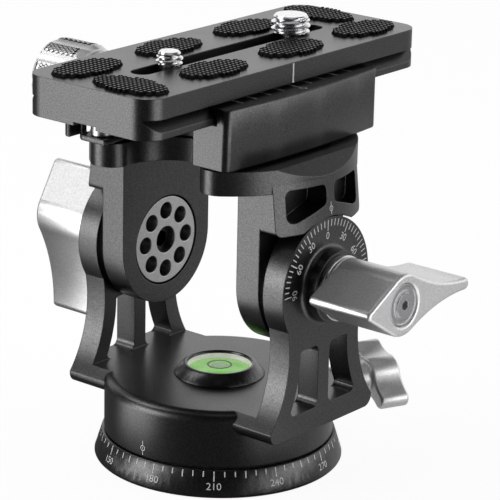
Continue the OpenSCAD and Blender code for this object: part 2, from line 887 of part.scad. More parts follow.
module level_vial() {
    color([0.45, 0.85, 0.25])
    difference() {
        translate([0, 0, vial_floor])
            cylinder(r = vial_r, h = vial_top - 0.8 - vial_floor);
        translate([0, 0, vial_top - 1.4])
            cylinder(r = bubble_r, h = 1);
    }
}

module level_bubble() {
    color([0.85, 0.9, 0.75])
    translate([0, 0, vial_top - 1.4])
        cylinder(r = bubble_r, h = 0.6);
}

module level_lens() {
    color([0.85, 0.88, 0.85, 0.35])
    translate([0, 0, vial_top - 0.8])
        cylinder(r = vial_r, h = 0.75);
}

module tilt_bushing_side() {
    color([0.66, 0.5, 0.28])
    translate([0, 0, tilt_z])
        difference() {
            x_bar(bush_r, up_in, boss_end);
            x_bar(axle_r + run_gap, up_in - 1, boss_end + 1);
        }
}

module tilt_bushing_right() {
    tilt_bushing_side();
}

module tilt_bushing_left() {
    mirror([1, 0, 0])
        tilt_bushing_side();
}

module friction_washer_side() {
    color([0.8, 0.8, 0.78])
    translate([0, 0, tilt_z])
        difference() {
            x_bar(friction_r, arm_out, up_in);
            x_bar(axle_r + free_gap, arm_out - 1, up_in + 1);
        }
}

module friction_washer_right() {
    friction_washer_side();
}

module friction_washer_left() {
    mirror([1, 0, 0])
        friction_washer_side();
}

// Places a bolt at each of the four clamp bolt positions
module bolt_places() {
    for (side = [-1, 1])
        for (end = [-1, 1])
            translate([side * clamp_bolt_x, end * clamp_bolt_y + clamp_shift, 0])
                children();
}

// One arm, its ear and the ear's two pockets
module cradle_side() {
    difference() {
        union() {
            x_prism(arm_in, arm_out) {
                translate([0, tilt_z])
                    circle(r = arm_w);
                translate([-arm_w, tilt_z])
                    square([2 * arm_w, plat_z + 1 - tilt_z]);
            }
            intersection() {
                translate([0, 0, ear_low])
                    cylinder(r1 = platform_r + ear_flare, r2 = platform_r - ear_slope * ear_blend,
                        h = ear_drop + 2 * ear_blend, $fn = 180);
                x_prism(arm_out - 1, platform_r + ear_flare + 1)
                    difference() {
                        rounded([[-arm_w, ear_low], [arm_w, ear_low],
                            [arm_w, plat_z + 6], [-arm_w, plat_z + 6]], ear_corner);
                        translate([0, tilt_z])
                            circle(r = ear_arc, $fn = 180);
                    }
            }
        }
        translate([0, 0, tilt_z]) {
            x_bar(axle_r, arm_in - 1, arm_out + 1);
            x_bar(face_nut_r + free_gap, arm_in - 1, nut_back);
        }
    }
}

module ear_pockets() {
    inner_low = tilt_z + sqrt(pow(pocket_arc, 2) - pow(pocket_web, 2));
    bend = sqrt(pow(pocket_arc, 2) - pow(pocket_low - tilt_z, 2));
    x_prism(platform_r - pocket_depth, platform_r + ear_flare + 1)
        for (side = [0 : 1])
            mirror([side, 0])
                rounded([[pocket_web, inner_low], [bend, pocket_low], [pocket_reach, pocket_low],
                    [pocket_reach, pocket_top], [pocket_web, pocket_top]], pocket_corner);
}

module tilt_cradle() {
    color([0.08, 0.08, 0.09])
    difference() {
        union() {
            translate([0, 0, plat_z])
                linear_extrude(height = platform_t)
                    platform_outline();
            cradle_side();
            mirror([1, 0, 0])
                cradle_side();
        }
        for (side = [0 : 1])
            mirror([side, 0, 0]) {
                ear_pockets();
                y_prism(2 * platform_r)
                    polygon([[platform_r + 1, plat_top - facet_h - facet_h / facet_w],
                        [platform_r - facet_w - 1, plat_top + facet_h / facet_w],
                        [platform_r + 1, plat_top + facet_h / facet_w]]);
            }
        bolt_places() {
            translate([0, 0, plat_z - 1])
                cylinder(r = clamp_bolt_r, h = platform_t + 2);
            translate([0, 0, plat_z - 1])
                cylinder(r = bolt_head_r + free_gap, h = bolt_head_h + 1);
        }
    }
}

module face_nut_side() {
    color([0.78, 0.78, 0.79])
    translate([0, 0, tilt_z])
        difference() {
            x_bar(face_nut_r, arm_in + face_sink, nut_back);
            x_bar(face_middle_r, arm_in - 1, nut_back + 1);
            for (turn = [0 : 7])
                rotate([45 * turn, 0, 0])
                    translate([0, 0, face_hole_ring])
                        x_bar(face_hole_r, arm_in - 1, nut_back + 1);
        }
}

module face_nut_right() {
    face_nut_side();
}

module face_nut_left() {
    mirror([1, 0, 0])
        face_nut_side();
}

module tilt_axle_side() {
    color([0.6, 0.6, 0.63])
    translate([0, 0, tilt_z])
        difference() {
            union() {
                x_bar(face_middle_r, spigot_in, nut_back + 1);
                x_bar(axle_r, nut_back, boss_end);
                x_bar(axle_thread_r, boss_end - 1, axle_end);
            }
            translate([spigot_in - 1, 0, 0])
                rotate([0, 90, 0])
                    cylinder(r = 2.2, h = 4, $fn = 6);
        }
}

module tilt_axle_right() {
    tilt_axle_side();
}

module tilt_axle_left() {
    mirror([1, 0, 0])
        tilt_axle_side();
}

module handle_collar_side() {
    color([0.82, 0.82, 0.83])
    translate([0, 0, tilt_z])
        difference() {
            x_bar(collar_r, boss_end, collar_end);
            x_bar(axle_thread_r + free_gap, boss_end - 1, collar_end + 1);
        }
}

module handle_collar_right() {
    handle_collar_side();
}

module handle_collar_left() {
    mirror([1, 0, 0])
        handle_collar_side();
}

module tilt_handle_side(lean) {
    color([0.78, 0.78, 0.79])
    translate([0, 0, tilt_z])
        difference() {
            x_prism(collar_end, handle_end)
                rotate(lean)
                    handle_outline();
            x_bar(axle_thread_r + run_gap, collar_end - 1, axle_end + free_gap);
            x_bar(cap_disc_r, handle_end - cap_disc_t, handle_end + 1);
            x_bar(button_r / 2, handle_end - cap_disc_t - 2.5, handle_end);
        }
}

module tilt_handle_right() {
    tilt_handle_side(-right_lean);
}

module tilt_handle_left() {
    mirror([1, 0, 0])
        tilt_handle_side(left_lean - 90);
}

module handle_screw_side() {
    color([0.85, 0.85, 0.86])
    translate([0, 0, tilt_z])
        difference() {
            union() {
                x_bar(cap_disc_r, handle_end - cap_disc_t, handle_end - 0.4);
                x_bar(button_r, handle_end - cap_disc_t, handle_end);
                x_bar(button_r / 2, handle_end - cap_disc_t - 2.5, handle_end - 1);
            }
            translate([handle_end - cap_disc_t, 0, 0])
                rotate([0, 90, 0])
                    cylinder(r = socket_r, h = cap_disc_t + 1, $fn = 6);
            translate([handle_end - 0.6, 0, 0])
                rotate([0, 90, 0])
                    z_pipe(cap_disc_r - 0.5, button_r + 0.5, 0, 1);
        }
}

module handle_screw_right() {
    handle_screw_side();
}

module handle_screw_left() {
    mirror([1, 0, 0])
        handle_screw_side();
}

// Outline of the hollows in the clamp's front and back
module clamp_hollows() {
    for (side = [-1, 1]) {
        translate([0, side * hollow_y])
            circle(r = hollow_r);
        translate([0, side * (hollow_y + jaw_len)])
            square([2 * hollow_r, 2 * jaw_len], center = true);
    }
}

module clamp_body() {
    color([0.08, 0.08, 0.09])
    difference() {
        translate([0, clamp_shift, 0]) {
            translate([-block_end, -seat_len, plat_top])
                cube([block_end + jaw_wall + 1, 2 * seat_len, seat_h]);
            translate([0, -jaw_len, jaw_z])
                cube([jaw_wall + 1, 2 * jaw_len, seat_z - jaw_z]);
            translate([0, 0, jaw_z])
                linear_extrude(height = floor_t)
                    difference() {
                        slab_outline(-floor_reach, 0, moving_len, jaw_corner);
                        translate([-2 * floor_reach, -boss_half - free_gap])
                            square([2 * floor_reach - block_end, 2 * (boss_half + free_gap)]);
                    }
            translate([0, 0, jaw_z])
                linear_extrude(height = post_h)
                    intersection() {
                        slab_outline(-floor_reach, 0, moving_len, jaw_corner);
                        difference() {
                            square([4 * floor_reach, 2 * moving_len], center = true);
                            square([4 * floor_reach, 2 * (moving_len - post_len)], center = true);
                            translate([post_w - floor_reach, -2 * moving_len])
                                square([4 * floor_reach, 4 * moving_len]);
                        }
                    }
            intersection() {
                translate([0, 0, jaw_z])
                    linear_extrude(height = jaw_top - jaw_z)
                        jaw_outline(claw_x, fixed_out, jaw_len);
                y_prism(2 * jaw_len)
                    polygon([[jaw_wall, jaw_z], [2 * fixed_out, jaw_z], [2 * fixed_out, jaw_top],
                        [claw_x, jaw_top], [half_w, slope_z], [jaw_wall, slope_z]]);
            }
        }
        translate([0, 0, plat_top - 1])
            linear_extrude(height = seat_h + 2)
                clamp_hollows();
        bolt_places()
            translate([0, 0, plat_top - 1])
                cylinder(r = clamp_bolt_r, h = bolt_top - plat_top + 1);
        translate([0, clamp_shift, screw_z])
            x_bar(screw_r + run_gap, -block_end - 1, screw_reach + 1 - block_end);
        for (side = [-1, 1]) {
            translate([0, side * guide_offset + clamp_shift, screw_z])
                x_bar(guide_r, -block_end - 1, -guide_in);
            translate([-pin_x, side * pin_y + clamp_shift, jaw_z - 1])
                cylinder(r = stop_pin_r - 1, h = floor_t + 2);
        }
    }
}

module clamp_bolts() {
    color([0.2, 0.2, 0.21])
    bolt_places()
        difference() {
            union() {
                translate([0, 0, plat_z])
                    cylinder(r = bolt_head_r, h = bolt_head_h);
                translate([0, 0, plat_z])
                    cylinder(r = clamp_bolt_r, h = bolt_top - plat_z);
            }
            translate([0, 0, plat_z - 1])
                cylinder(r = clamp_bolt_r, h = 2.4, $fn = 6);
        }
}

module jaw_guide_pins() {
    color([0.7, 0.7, 0.72])
    for (side = [-1, 1])
        translate([0, side * guide_offset + clamp_shift, screw_z])
            x_bar(guide_r, -guide_tip, -guide_in);
}

module stop_pins() {
    color([0.88, 0.88, 0.89])
    for (side = [-1, 1])
        translate([-pin_x, side * pin_y + clamp_shift, 0]) {
            translate([0, 0, floor_z])
                cylinder(r = stop_pin_r, h = stop_pin_h);
            translate([0, 0, jaw_z])
                cylinder(r = stop_pin_r - 1, h = floor_t + 1);
        }
}

module moving_jaw() {
    color([0.08, 0.08, 0.09])
    translate([0, clamp_shift, 0])
        mirror([1, 0, 0])
            difference() {
                union() {
                    intersection() {
                        translate([0, 0, bar_z])
                            linear_extrude(height = jaw_top - bar_z)
                                jaw_outline(claw_x, moving_out, moving_len);
                        y_prism(2 * moving_len)
                            polygon([[jaw_wall, bar_z], [2 * moving_out, bar_z], [2 * moving_out, jaw_top],
                                [claw_x, jaw_top], [half_w, slope_z], [jaw_wall, slope_z]]);
                    }
                    translate([0, 0, jaw_z])
                        linear_extrude(height = bar_z - jaw_z + 1)
                            difference() {
                                jaw_outline(moving_out - foot_t, moving_out, moving_len);
                                square([4 * moving_out, 2 * (moving_len - foot_len)], center = true);
                            }
                    translate([0, 0, jaw_z])
                        linear_extrude(height = slope_z - jaw_z)
                            slab_outline(jaw_wall, boss_face, boss_half, jaw_corner);
                }
                translate([0, 0, screw_z]) {
                    x_bar(screw_r + run_gap, jaw_wall - 1, boss_face + 1);
                    x_bar(screw_clip_r + free_gap, jaw_wall - 1, jaw_wall + 1.2);
                }
                for (side = [-1, 1])
                    translate([0, side * guide_offset, screw_z])
                        x_bar(guide_r + run_gap, jaw_wall - 1, guide_tip + 0.5);
            }
}

module clamp_screw() {
    color([0.6, 0.6, 0.63])
    translate([0, clamp_shift, screw_z])
        x_bar(screw_r, 3 - knob_d, screw_reach - block_end);
}

module screw_clip() {
    color([0.5, 0.5, 0.52])
    translate([0, clamp_shift, screw_z])
        difference() {
            x_bar(screw_clip_r, -clip_x - 0.8, -clip_x);
            x_bar(screw_r, -clip_x - 2, 0);
        }
}

module clamp_knob() {
    color([0.78, 0.78, 0.79])
    translate([0, clamp_shift, screw_z])
        mirror([1, 0, 0])
            difference() {
                union() {
                    translate([boss_face, 0, 0])
                        rotate([0, 90, 0])
                            cylinder(r1 = knob_neck_r - neck_chamfer, r2 = knob_neck_r, h = neck_chamfer);
                    x_bar(knob_neck_r, boss_face + neck_chamfer, knob_a + 1);
                    x_bar(knob_collar_r, knob_a, knob_b + 1);
                    translate([knob_b, 0, 0])
                        rotate([0, 90, 0])
                            cylinder(r1 = knob_collar_r + 0.5, r2 = knob_r, h = knob_cone);
                    x_bar(knob_r, knob_c, knob_d);
                }
                for (turn = [0 : flute_count - 1])
                    rotate([360 * turn / flute_count + flute_turn, 0, 0])
                        translate([0, 0, knob_r + flute_r - flute_depth])
                            x_bar(flute_r, knob_b, knob_d + 1);
                x_bar(screw_r, boss_face - 1, knob_d - 3);
            }
}

module slot_outline(length, width) {
    square([width, length - width], center = true);
    for (side = [-1, 1])
        translate([0, side * (length - width) / 2])
            circle(r = width / 2);
}

module camera_plate() {
    color([0.09, 0.09, 0.1])
    translate([0, clamp_shift, 0])
        difference() {
            intersection() {
                translate([0, 0, seat_z])
                    linear_extrude(height = plate_top - seat_z)
                        slab_outline(-half_w, half_w, plate_len / 2, plate_corner);
                y_prism(plate_len)
                    polygon([[-half_w, seat_z], [half_w, seat_z], [half_w, slope_z],
                        [half_w - dovetail_h, slab_z], [2 * half_w, slab_z], [2 * half_w, plate_top + 1],
                        [-2 * half_w, plate_top + 1], [-2 * half_w, slab_z],
                        [dovetail_h - half_w, slab_z], [-half_w, slope_z]]);
            }
            translate([0, 0, seat_z - 1])
                linear_extrude(height = plate_top - seat_z + 2)
                    slot_outline(slot_len, slot_w);
            translate([0, 0, seat_z - 1])
                linear_extrude(height = recess_d + 1)
                    slot_outline(slot_len + recess_w - slot_w, recess_w);
            translate([-groove_w / 2, -plate_len, seat_z - 1])
                cube([groove_w, 2 * plate_len, groove_d + 1]);
            translate([0, 0, plate_top - pad_sink])
                linear_extrude(height = pad_sink + 1)
                    pad_places()
                        pad_outline();
        }
}

// Section of the grooves side by side over a given half width, with a stud in the middle
module stud_grooves(half) {
    count = round(half / stud_pitch);
    for (step = [-count : count - 1])
        translate([(step + 0.5) * stud_pitch, 0])
            polygon([[-stud_groove, stud_depth], [0, -stud_depth], [stud_groove, stud_depth]]);
}

module plate_pads() {
    color([0.05, 0.05, 0.05])
    translate([0, clamp_shift, plate_top - pad_sink])
        pad_places()
            difference() {
                linear_extrude(height = pad_sink + pad_rise)
                    pad_outline();
                translate([0, 0, pad_sink + pad_rise]) {
                    x_prism(-pad_w, pad_w)
                        stud_grooves(pad_len / 2);
                    y_prism(pad_len)
                        stud_grooves(pad_w / 2);
                }
            }
}

module screw_clip_ring() {
    translate([0, 0, recess_top - clip_t])
        difference() {
            cylinder(r = screw_neck_r + 2.2, h = clip_t);
            translate([0, 0, -1])
                cylinder(r = screw_neck_r + run_gap, h = clip_t + 2);
        }
}

module captive_screw(thread, length) {
    difference() {
        union() {
            translate([0, 0, head_z])
                cylinder(r = head_disc_r, h = head_disc_t);
            translate([0, 0, head_z])
                cylinder(r = screw_neck_r, h = thread_z + 1 - head_z);
            translate([0, 0, thread_z])
                cylinder(r = thread, h = length);
        }
        translate([-head_disc_r - 1, -0.8, head_z - 1])
            cube([2 * head_disc_r + 2, 1.6, 2.2]);
    }
}

module quarter_clip() {
    color([0.5, 0.5, 0.52])
    translate([0, clamp_shift - quarter_pos, 0])
        screw_clip_ring();
}

module quarter_screw() {
    color([0.85, 0.85, 0.86])
    translate([0, clamp_shift - quarter_pos, 0])
        captive_screw(quarter_r, quarter_len);
}

module three_eighths_clip() {
    color([0.5, 0.5, 0.52])
    translate([0, clamp_shift + large_pos, 0])
        screw_clip_ring();
}

module three_eighths_screw() {
    color([0.85, 0.85, 0.86])
    translate([0, clamp_shift + large_pos, 0])
        captive_screw(large_r, large_len);
}

base_ring();
thread_insert();
pan_spindle();
spindle_screws();
pan_washer();
cap_washer();
retaining_cap();
cap_screws();
pan_yoke();
brake_shoe();
pan_lock_stud();
pan_lock_knob();
level_cup();
level_vial();
level_bubble();
level_lens();
tilt_bushing_right();
tilt_bushing_left();
friction_washer_right();
friction_washer_left();
tilt_cradle();
face_nut_right();
face_nut_left();
tilt_axle_right();
tilt_axle_left();
handle_collar_right();
handle_collar_left();
tilt_handle_right();
tilt_handle_left();
handle_screw_right();
handle_screw_left();
clamp_body();
clamp_bolts();
jaw_guide_pins();
stop_pins();
moving_jaw();
clamp_screw();
screw_clip();
clamp_knob();
camera_plate();
plate_pads();
quarter_clip();
quarter_screw();
three_eighths_clip();
three_eighths_screw();
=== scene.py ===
# %% [markdown]
# # A monopod tilt head in a small studio
# The head's pieces are solids already: a panning drum on a graduated ring, a cradle that tilts
# between two uprights, and a screw clamp that holds a camera plate. This script loads them as a
# fixed frame and never moves them. It adds what a solid leaves out: broken edges, threads, a
# knurl, grip pads, painted scales, a filled level, and the finish of each metal.

# %% Load the solids
import math

import bmesh
import bpy
from mathutils import Matrix, Vector


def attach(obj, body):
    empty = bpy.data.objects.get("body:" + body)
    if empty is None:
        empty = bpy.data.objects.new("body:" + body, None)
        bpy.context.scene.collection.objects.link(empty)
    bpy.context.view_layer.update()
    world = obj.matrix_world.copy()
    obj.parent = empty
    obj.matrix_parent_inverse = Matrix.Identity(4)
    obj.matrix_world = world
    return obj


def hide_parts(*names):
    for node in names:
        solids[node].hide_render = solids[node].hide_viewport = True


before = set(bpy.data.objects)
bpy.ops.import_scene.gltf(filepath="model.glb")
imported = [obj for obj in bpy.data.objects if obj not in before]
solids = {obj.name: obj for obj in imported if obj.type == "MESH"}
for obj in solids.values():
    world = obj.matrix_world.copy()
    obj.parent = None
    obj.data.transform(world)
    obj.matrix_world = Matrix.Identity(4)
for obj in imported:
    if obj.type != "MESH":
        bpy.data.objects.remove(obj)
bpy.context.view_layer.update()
MM = 0.001
FULL_TURN = 2 * math.pi

# %% [markdown]
# ## The camera
# A product shot is matched by its camera first. One could drag the camera by eye, but here its
# place is worked out: it stands 39 degrees round from the front and 18 degrees up, behind a long
# lens, so that parallel lines hardly converge.

# %% Place the camera
turn, rise, roll = (math.radians(angle) for angle in (39.0036, 17.9657, 1.2506))
stand_off, shift_right, shift_up = 643.371, 7.8444, 49.0788
focal_px, picture_px, sensor_mm = 2624.157, 500, 36
back = Vector((math.sin(turn) * math.cos(rise), -math.cos(turn) * math.cos(rise), math.sin(rise)))
level_right = Vector((math.cos(turn), math.sin(turn), 0))
level_up = back.cross(level_right)
right = level_right * math.cos(roll) + level_up * math.sin(roll)
up = level_up * math.cos(roll) - level_right * math.sin(roll)
lens = bpy.data.cameras.new("studio_camera")
lens.sensor_width = sensor_mm
lens.lens = sensor_mm * focal_px / picture_px
lens.clip_start, lens.clip_end = 0.02, 50
camera = bpy.data.objects.new("studio_camera", lens)
stand = (back * stand_off + right * shift_right + up * shift_up) * MM
camera.matrix_world = Matrix.Translation(stand) @ Matrix((right, up, back)).transposed().to_4x4()
bpy.context.scene.collection.objects.link(camera)
bpy.context.scene.camera = camera
print("camera lens:", round(lens.lens, 1), "mm, at", [round(x, 3) for x in stand])

# %% [markdown]
# ## Light for black metal
# Black metal shows little colour of its own. What the eye reads as its shape is what it mirrors,
# so the studio is laid out as surroundings: white paper below, white behind, a bright patch low
# on the left and on the right, and darkness in front and overhead. Lamps alone could do it, but
# shading the floor and the world by direction gives each mirrored patch its own place and edge.

# %% Small helpers for the light
# A side of the studio: its middle in degrees, how far out it is full, and where it is gone.
# 0 degrees is the front of the head and 90 its right.
LEFT_SIDE = (-33, 4, 24)
PAPER_RIGHT, WORLD_RIGHT = (84, 8, 26), (102, 8, 34)
PAPER_BACK, WORLD_BACK = (175, 60, 95), (185, 60, 100)


def shader_tree(material):
    """An empty node tree with its output."""
    material.use_nodes = True
    tree = material.node_tree
    tree.nodes.clear()
    return tree, tree.nodes.new("ShaderNodeOutputMaterial")


def reckon(tree, operation, a, b):
    """One sum of two numbers or sockets."""
    node = tree.nodes.new("ShaderNodeMath")
    node.operation = operation
    for slot, value in enumerate((a, b)):
        if isinstance(value, (int, float)):
            node.inputs[slot].default_value = value
        else:
            tree.links.new(value, node.inputs[slot])
    return node.outputs[0]


def blend(tree, value, start, stop, low, high):
    """Runs softly from low to high while the value runs from start to stop."""
    node = tree.nodes.new("ShaderNodeMapRange")
    node.interpolation_type = "SMOOTHSTEP"
    span = (("From Min", start), ("From Max", stop), ("To Min", low), ("To Max", high))
    for slot, number in span:
        node.inputs[slot].default_value = number
    tree.links.new(value, node.inputs["Value"])
    return node.outputs[0]


def by_height(tree, z, start, stop, low, high):
    """A blend between two angles above the horizon, given in degrees."""
    return blend(tree, z, math.sin(math.radians(start)), math.sin(math.radians(stop)), low, high)


def on_side(tree, vector, side, strength):
    """The strength on one side of the head, fading to 0 elsewhere."""
    degrees, inner, outer = side
    flat = tree.nodes.new("ShaderNodeVectorMath")
    flat.operation = "MULTIPLY"
    flat.inputs[1].default_value = (1, 1, 0)
    tree.links.new(vector, flat.inputs[0])
    unit = tree.nodes.new("ShaderNodeVectorMath")
    unit.operation = "NORMALIZE"
    tree.links.new(flat.outputs[0], unit.inputs[0])
    facing = tree.nodes.new("ShaderNodeVectorMath")
    facing.operation = "DOT_PRODUCT"
    middle = math.radians(degrees)
    facing.inputs[1].default_value = (math.sin(middle), -math.cos(middle), 0)
    tree.links.new(unit.outputs[0], facing.inputs[0])
    share = blend(tree, facing.outputs["Value"],
                  math.cos(math.radians(outer)), math.cos(math.radians(inner)), 0, 1)
    return reckon(tree, "MULTIPLY", share, strength)


print("bright sides at", LEFT_SIDE[0], PAPER_RIGHT[0], "and", WORLD_RIGHT[0], "degrees")

# %% [markdown]
# ## The white paper
# The head stands on one large white sheet. Lit by lamps alone it would turn grey, and lamps strong
# enough to whiten it would burn out the silver. So most of it shines by itself, but only for the
# camera and for mirrors: Light Path says which kind of ray is asking. The rest stays matte and keeps
# the shadow. In mirrors the sheet is brightest at the two sides, and dark close to the base.

# %% Lay the paper
paper = bpy.data.materials.new("white_paper")
tree, output = shader_tree(paper)
matte = tree.nodes.new("ShaderNodeBsdfDiffuse")
matte.inputs["Color"].default_value = (0.9, 0.9, 0.9, 1)
path = tree.nodes.new("ShaderNodeLightPath")
spot = tree.nodes.new("ShaderNodeNewGeometry").outputs["Position"]
distance = tree.nodes.new("ShaderNodeVectorMath")
distance.operation = "LENGTH"
tree.links.new(spot, distance.inputs[0])
white_back = on_side(tree, spot, PAPER_BACK, 0.45)
lit_left = on_side(tree, spot, LEFT_SIDE, 3.9)
far_right = blend(tree, distance.outputs["Value"], 0.15, 0.4, 1.5, 3.2)
lit_right = on_side(tree, spot, PAPER_RIGHT, far_right)
off_the_base = blend(tree, distance.outputs["Value"], 0.045, 0.075, 0, 1)
lit_sides = reckon(tree, "MULTIPLY", reckon(tree, "ADD", lit_left, lit_right), off_the_base)
mirrored = reckon(tree, "ADD", white_back, lit_sides)
in_mirrors = path.outputs["Is Glossy Ray"]
extra = reckon(tree, "MULTIPLY", reckon(tree, "SUBTRACT", mirrored, 1.0), in_mirrors)
paper_white, shining_share = 1.06, 0.88
glow = tree.nodes.new("ShaderNodeEmission")
tree.links.new(reckon(tree, "ADD", extra, paper_white), glow.inputs["Strength"])
seen = reckon(tree, "MAXIMUM", path.outputs["Is Camera Ray"], in_mirrors)
seen = reckon(tree, "MAXIMUM", seen, path.outputs["Is Transmission Ray"])
mix = tree.nodes.new("ShaderNodeMixShader")
tree.links.new(reckon(tree, "MULTIPLY", seen, shining_share), mix.inputs[0])
tree.links.new(matte.outputs[0], mix.inputs[1])
tree.links.new(glow.outputs[0], mix.inputs[2])
tree.links.new(mix.outputs[0], output.inputs["Surface"])

half, below = 6.0, -2e-5
corners = [(-half, -half, below), (half, -half, below), (half, half, below), (-half, half, below)]
sheet_mesh = bpy.data.meshes.new("paper_floor")
sheet_mesh.from_pydata(corners, [], [(0, 1, 2, 3)])
paper_floor = bpy.data.objects.new("paper_floor", sheet_mesh)
paper_floor.data.materials.append(paper)
bpy.context.scene.collection.objects.link(paper_floor)
print("floor:", 2 * half, "m square")

# %% [markdown]
# ## The surroundings
# The world stands in for the walls of the studio. A picture of a studio could be wrapped round the
# scene, but a few blends by direction and height draw it more plainly: white behind, two bright
# sides low down, and hardly any light elsewhere. The camera itself always sees plain white there.

# %% Shade the world
world = bpy.data.worlds.new("studio_world")
bpy.context.scene.world = world
world.use_nodes = True
wt = world.node_tree
wt.nodes.clear()
sky = wt.nodes.new("ShaderNodeBackground")
sky.inputs["Color"].default_value = (1, 1, 1, 1)
world_output = wt.nodes.new("ShaderNodeOutputWorld")
toward = wt.nodes.new("ShaderNodeTexCoord").outputs["Generated"]
split = wt.nodes.new("ShaderNodeSeparateXYZ")
wt.links.new(toward, split.inputs[0])
height = split.outputs["Z"]
sweep = by_height(wt, height, 24, 44, 1.25, 0.05)
behind = reckon(wt, "ADD", 0.03, on_side(wt, toward, WORLD_BACK, 0.94))
level_band = by_height(wt, height, 16, 34, 1, 0)
left_side = on_side(wt, toward, LEFT_SIDE, 2.7)
right_side = on_side(wt, toward, WORLD_RIGHT, 2.2)
sides = reckon(wt, "MULTIPLY", reckon(wt, "ADD", left_side, right_side), level_band)
studio = reckon(wt, "ADD", reckon(wt, "MULTIPLY", sweep, behind), sides)
to_camera = wt.nodes.new("ShaderNodeLightPath").outputs["Is Camera Ray"]
wt.links.new(reckon(wt, "MAXIMUM", studio, to_camera), sky.inputs["Strength"])
wt.links.new(sky.outputs[0], world_output.inputs["Surface"])
bpy.context.scene.view_settings.view_transform = "Standard"
print("world: white behind, bright at both sides, dark in front and overhead")

# %% [markdown]
# ## Soft boxes
# Three lamps add what the surroundings leave out: a low one at the front left for the faces that
# look that way, a high one on the left for the plate's top, and a wide weak one overhead. Point
# lamps would leave hard dots in the metal. Wide area lamps leave soft patches, as soft boxes do.

# %% Hang the soft boxes
head_middle = Vector((0, 0, 0.055))
for name, place, width, tall, watts in (("front_left_box", (-0.46, -0.70, 0.12), 0.5, 0.4, 2.0),
                                        ("high_left_box", (-0.54, -0.27, 0.67), 0.4, 0.4, 1.6),
                                        ("top_box", (0.0, 0.0, 1.1), 1.0, 1.0, 1.3)):
    box = bpy.data.lights.new(name, "AREA")
    box.shape = "RECTANGLE"
    box.size, box.size_y = width, tall
    box.energy = watts
    lamp = bpy.data.objects.new(name, box)
    lamp.location = place
    lamp.rotation_mode = "QUATERNION"
    lamp.rotation_quaternion = (head_middle - Vector(place)).to_track_quat("-Z", "Y")
    bpy.context.scene.collection.objects.link(lamp)

# %% [markdown]
# ## Finishes
# Nearly everything here is aluminium, blasted with fine beads and then anodised, black or clear.
# Blasting leaves tiny dents, so each finish takes a fine noise, turns it into bump, and lets it
# shift the colour a little. A slower noise lets the gloss drift. On the black the fine grain also
# varies how strongly each spot mirrors, which gives it its sparkle. A picture of the metal would do
# too, but noise in object space needs no unwrapping and stays sharp at any distance.

# %% A grained finish
GRAIN_LOW, GRAIN_HIGH = 0.3, 0.7
DRIFT_SCALE = 90


def grained(name, low, high, metallic, rough, grain_mm, dent_mm, specular=0.5, edge_mm=0, sparkle=0):
    """Colour runs from low to high with the grain, and roughness drifts within rough.

    edge_mm rounds the edges in the shader, and sparkle varies the mirror by that share."""
    material = bpy.data.materials.new(name)
    tree, output = shader_tree(material)
    skin = tree.nodes.new("ShaderNodeBsdfPrincipled")
    skin.inputs["Metallic"].default_value = metallic
    skin.inputs["Specular IOR Level"].default_value = specular
    where = tree.nodes.new("ShaderNodeTexCoord").outputs["Object"]
    grain = tree.nodes.new("ShaderNodeTexNoise")
    grain.inputs["Scale"].default_value = 1000 / grain_mm
    grain.inputs["Detail"].default_value = 2
    tree.links.new(where, grain.inputs["Vector"])
    shade = tree.nodes.new("ShaderNodeValToRGB")
    for stop, place, colour in zip(shade.color_ramp.elements, (GRAIN_LOW, GRAIN_HIGH), (low, high)):
        stop.position, stop.color = place, (*colour, 1)
    tree.links.new(grain.outputs["Fac"], shade.inputs["Fac"])
    tree.links.new(shade.outputs["Color"], skin.inputs["Base Color"])
    if sparkle:
        glint = tree.nodes.new("ShaderNodeMapRange")
        glint.inputs["From Min"].default_value = GRAIN_LOW
        glint.inputs["From Max"].default_value = GRAIN_HIGH
        glint.inputs["To Min"].default_value = (1 - sparkle) * specular
        glint.inputs["To Max"].default_value = (1 + sparkle) * specular
        tree.links.new(grain.outputs["Fac"], glint.inputs["Value"])
        tree.links.new(glint.outputs[0], skin.inputs["Specular IOR Level"])
    drift = tree.nodes.new("ShaderNodeTexNoise")
    drift.inputs["Scale"].default_value = DRIFT_SCALE
    drift.inputs["Detail"].default_value = 4
    tree.links.new(where, drift.inputs["Vector"])
    gloss = tree.nodes.new("ShaderNodeMapRange")
    gloss.inputs["To Min"].default_value, gloss.inputs["To Max"].default_value = rough
    tree.links.new(drift.outputs["Fac"], gloss.inputs["Value"])
    tree.links.new(gloss.outputs[0], skin.inputs["Roughness"])
    dents = tree.nodes.new("ShaderNodeBump")
    dents.inputs["Strength"].default_value = 1.0
    dents.inputs["Distance"].default_value = dent_mm * MM
    tree.links.new(grain.outputs["Fac"], dents.inputs["Height"])
    tree.links.new(dents.outputs[0], skin.inputs["Normal"])
    if edge_mm:
        soft_edge = tree.nodes.new("ShaderNodeBevel")
        soft_edge.samples = 6
        soft_edge.inputs["Radius"].default_value = edge_mm * MM
        tree.links.new(soft_edge.outputs[0], dents.inputs["Normal"])
    tree.links.new(skin.outputs[0], output.inputs["Surface"])
    return material


black_anodised = grained("black_anodised", (0.0012, 0.0012, 0.0014), (0.0038, 0.0038, 0.0041), 0,
                         (0.27, 0.35), 0.34, 0.022, specular=0.85, edge_mm=0.35, sparkle=0.3)
print("first finish:", black_anodised.name)

# %% [markdown]
# ## The other metals, rubber, plastic and paint
# With the recipe in place, each further finish is one line: two colours, metal or not, its
# roughness, and the size of its grain in millimetres. The blasted silver is the roughest metal and
# the collars are polished. Each could be a material of its own kind, but a shared recipe keeps
# them in one family, as pieces from one workshop are.

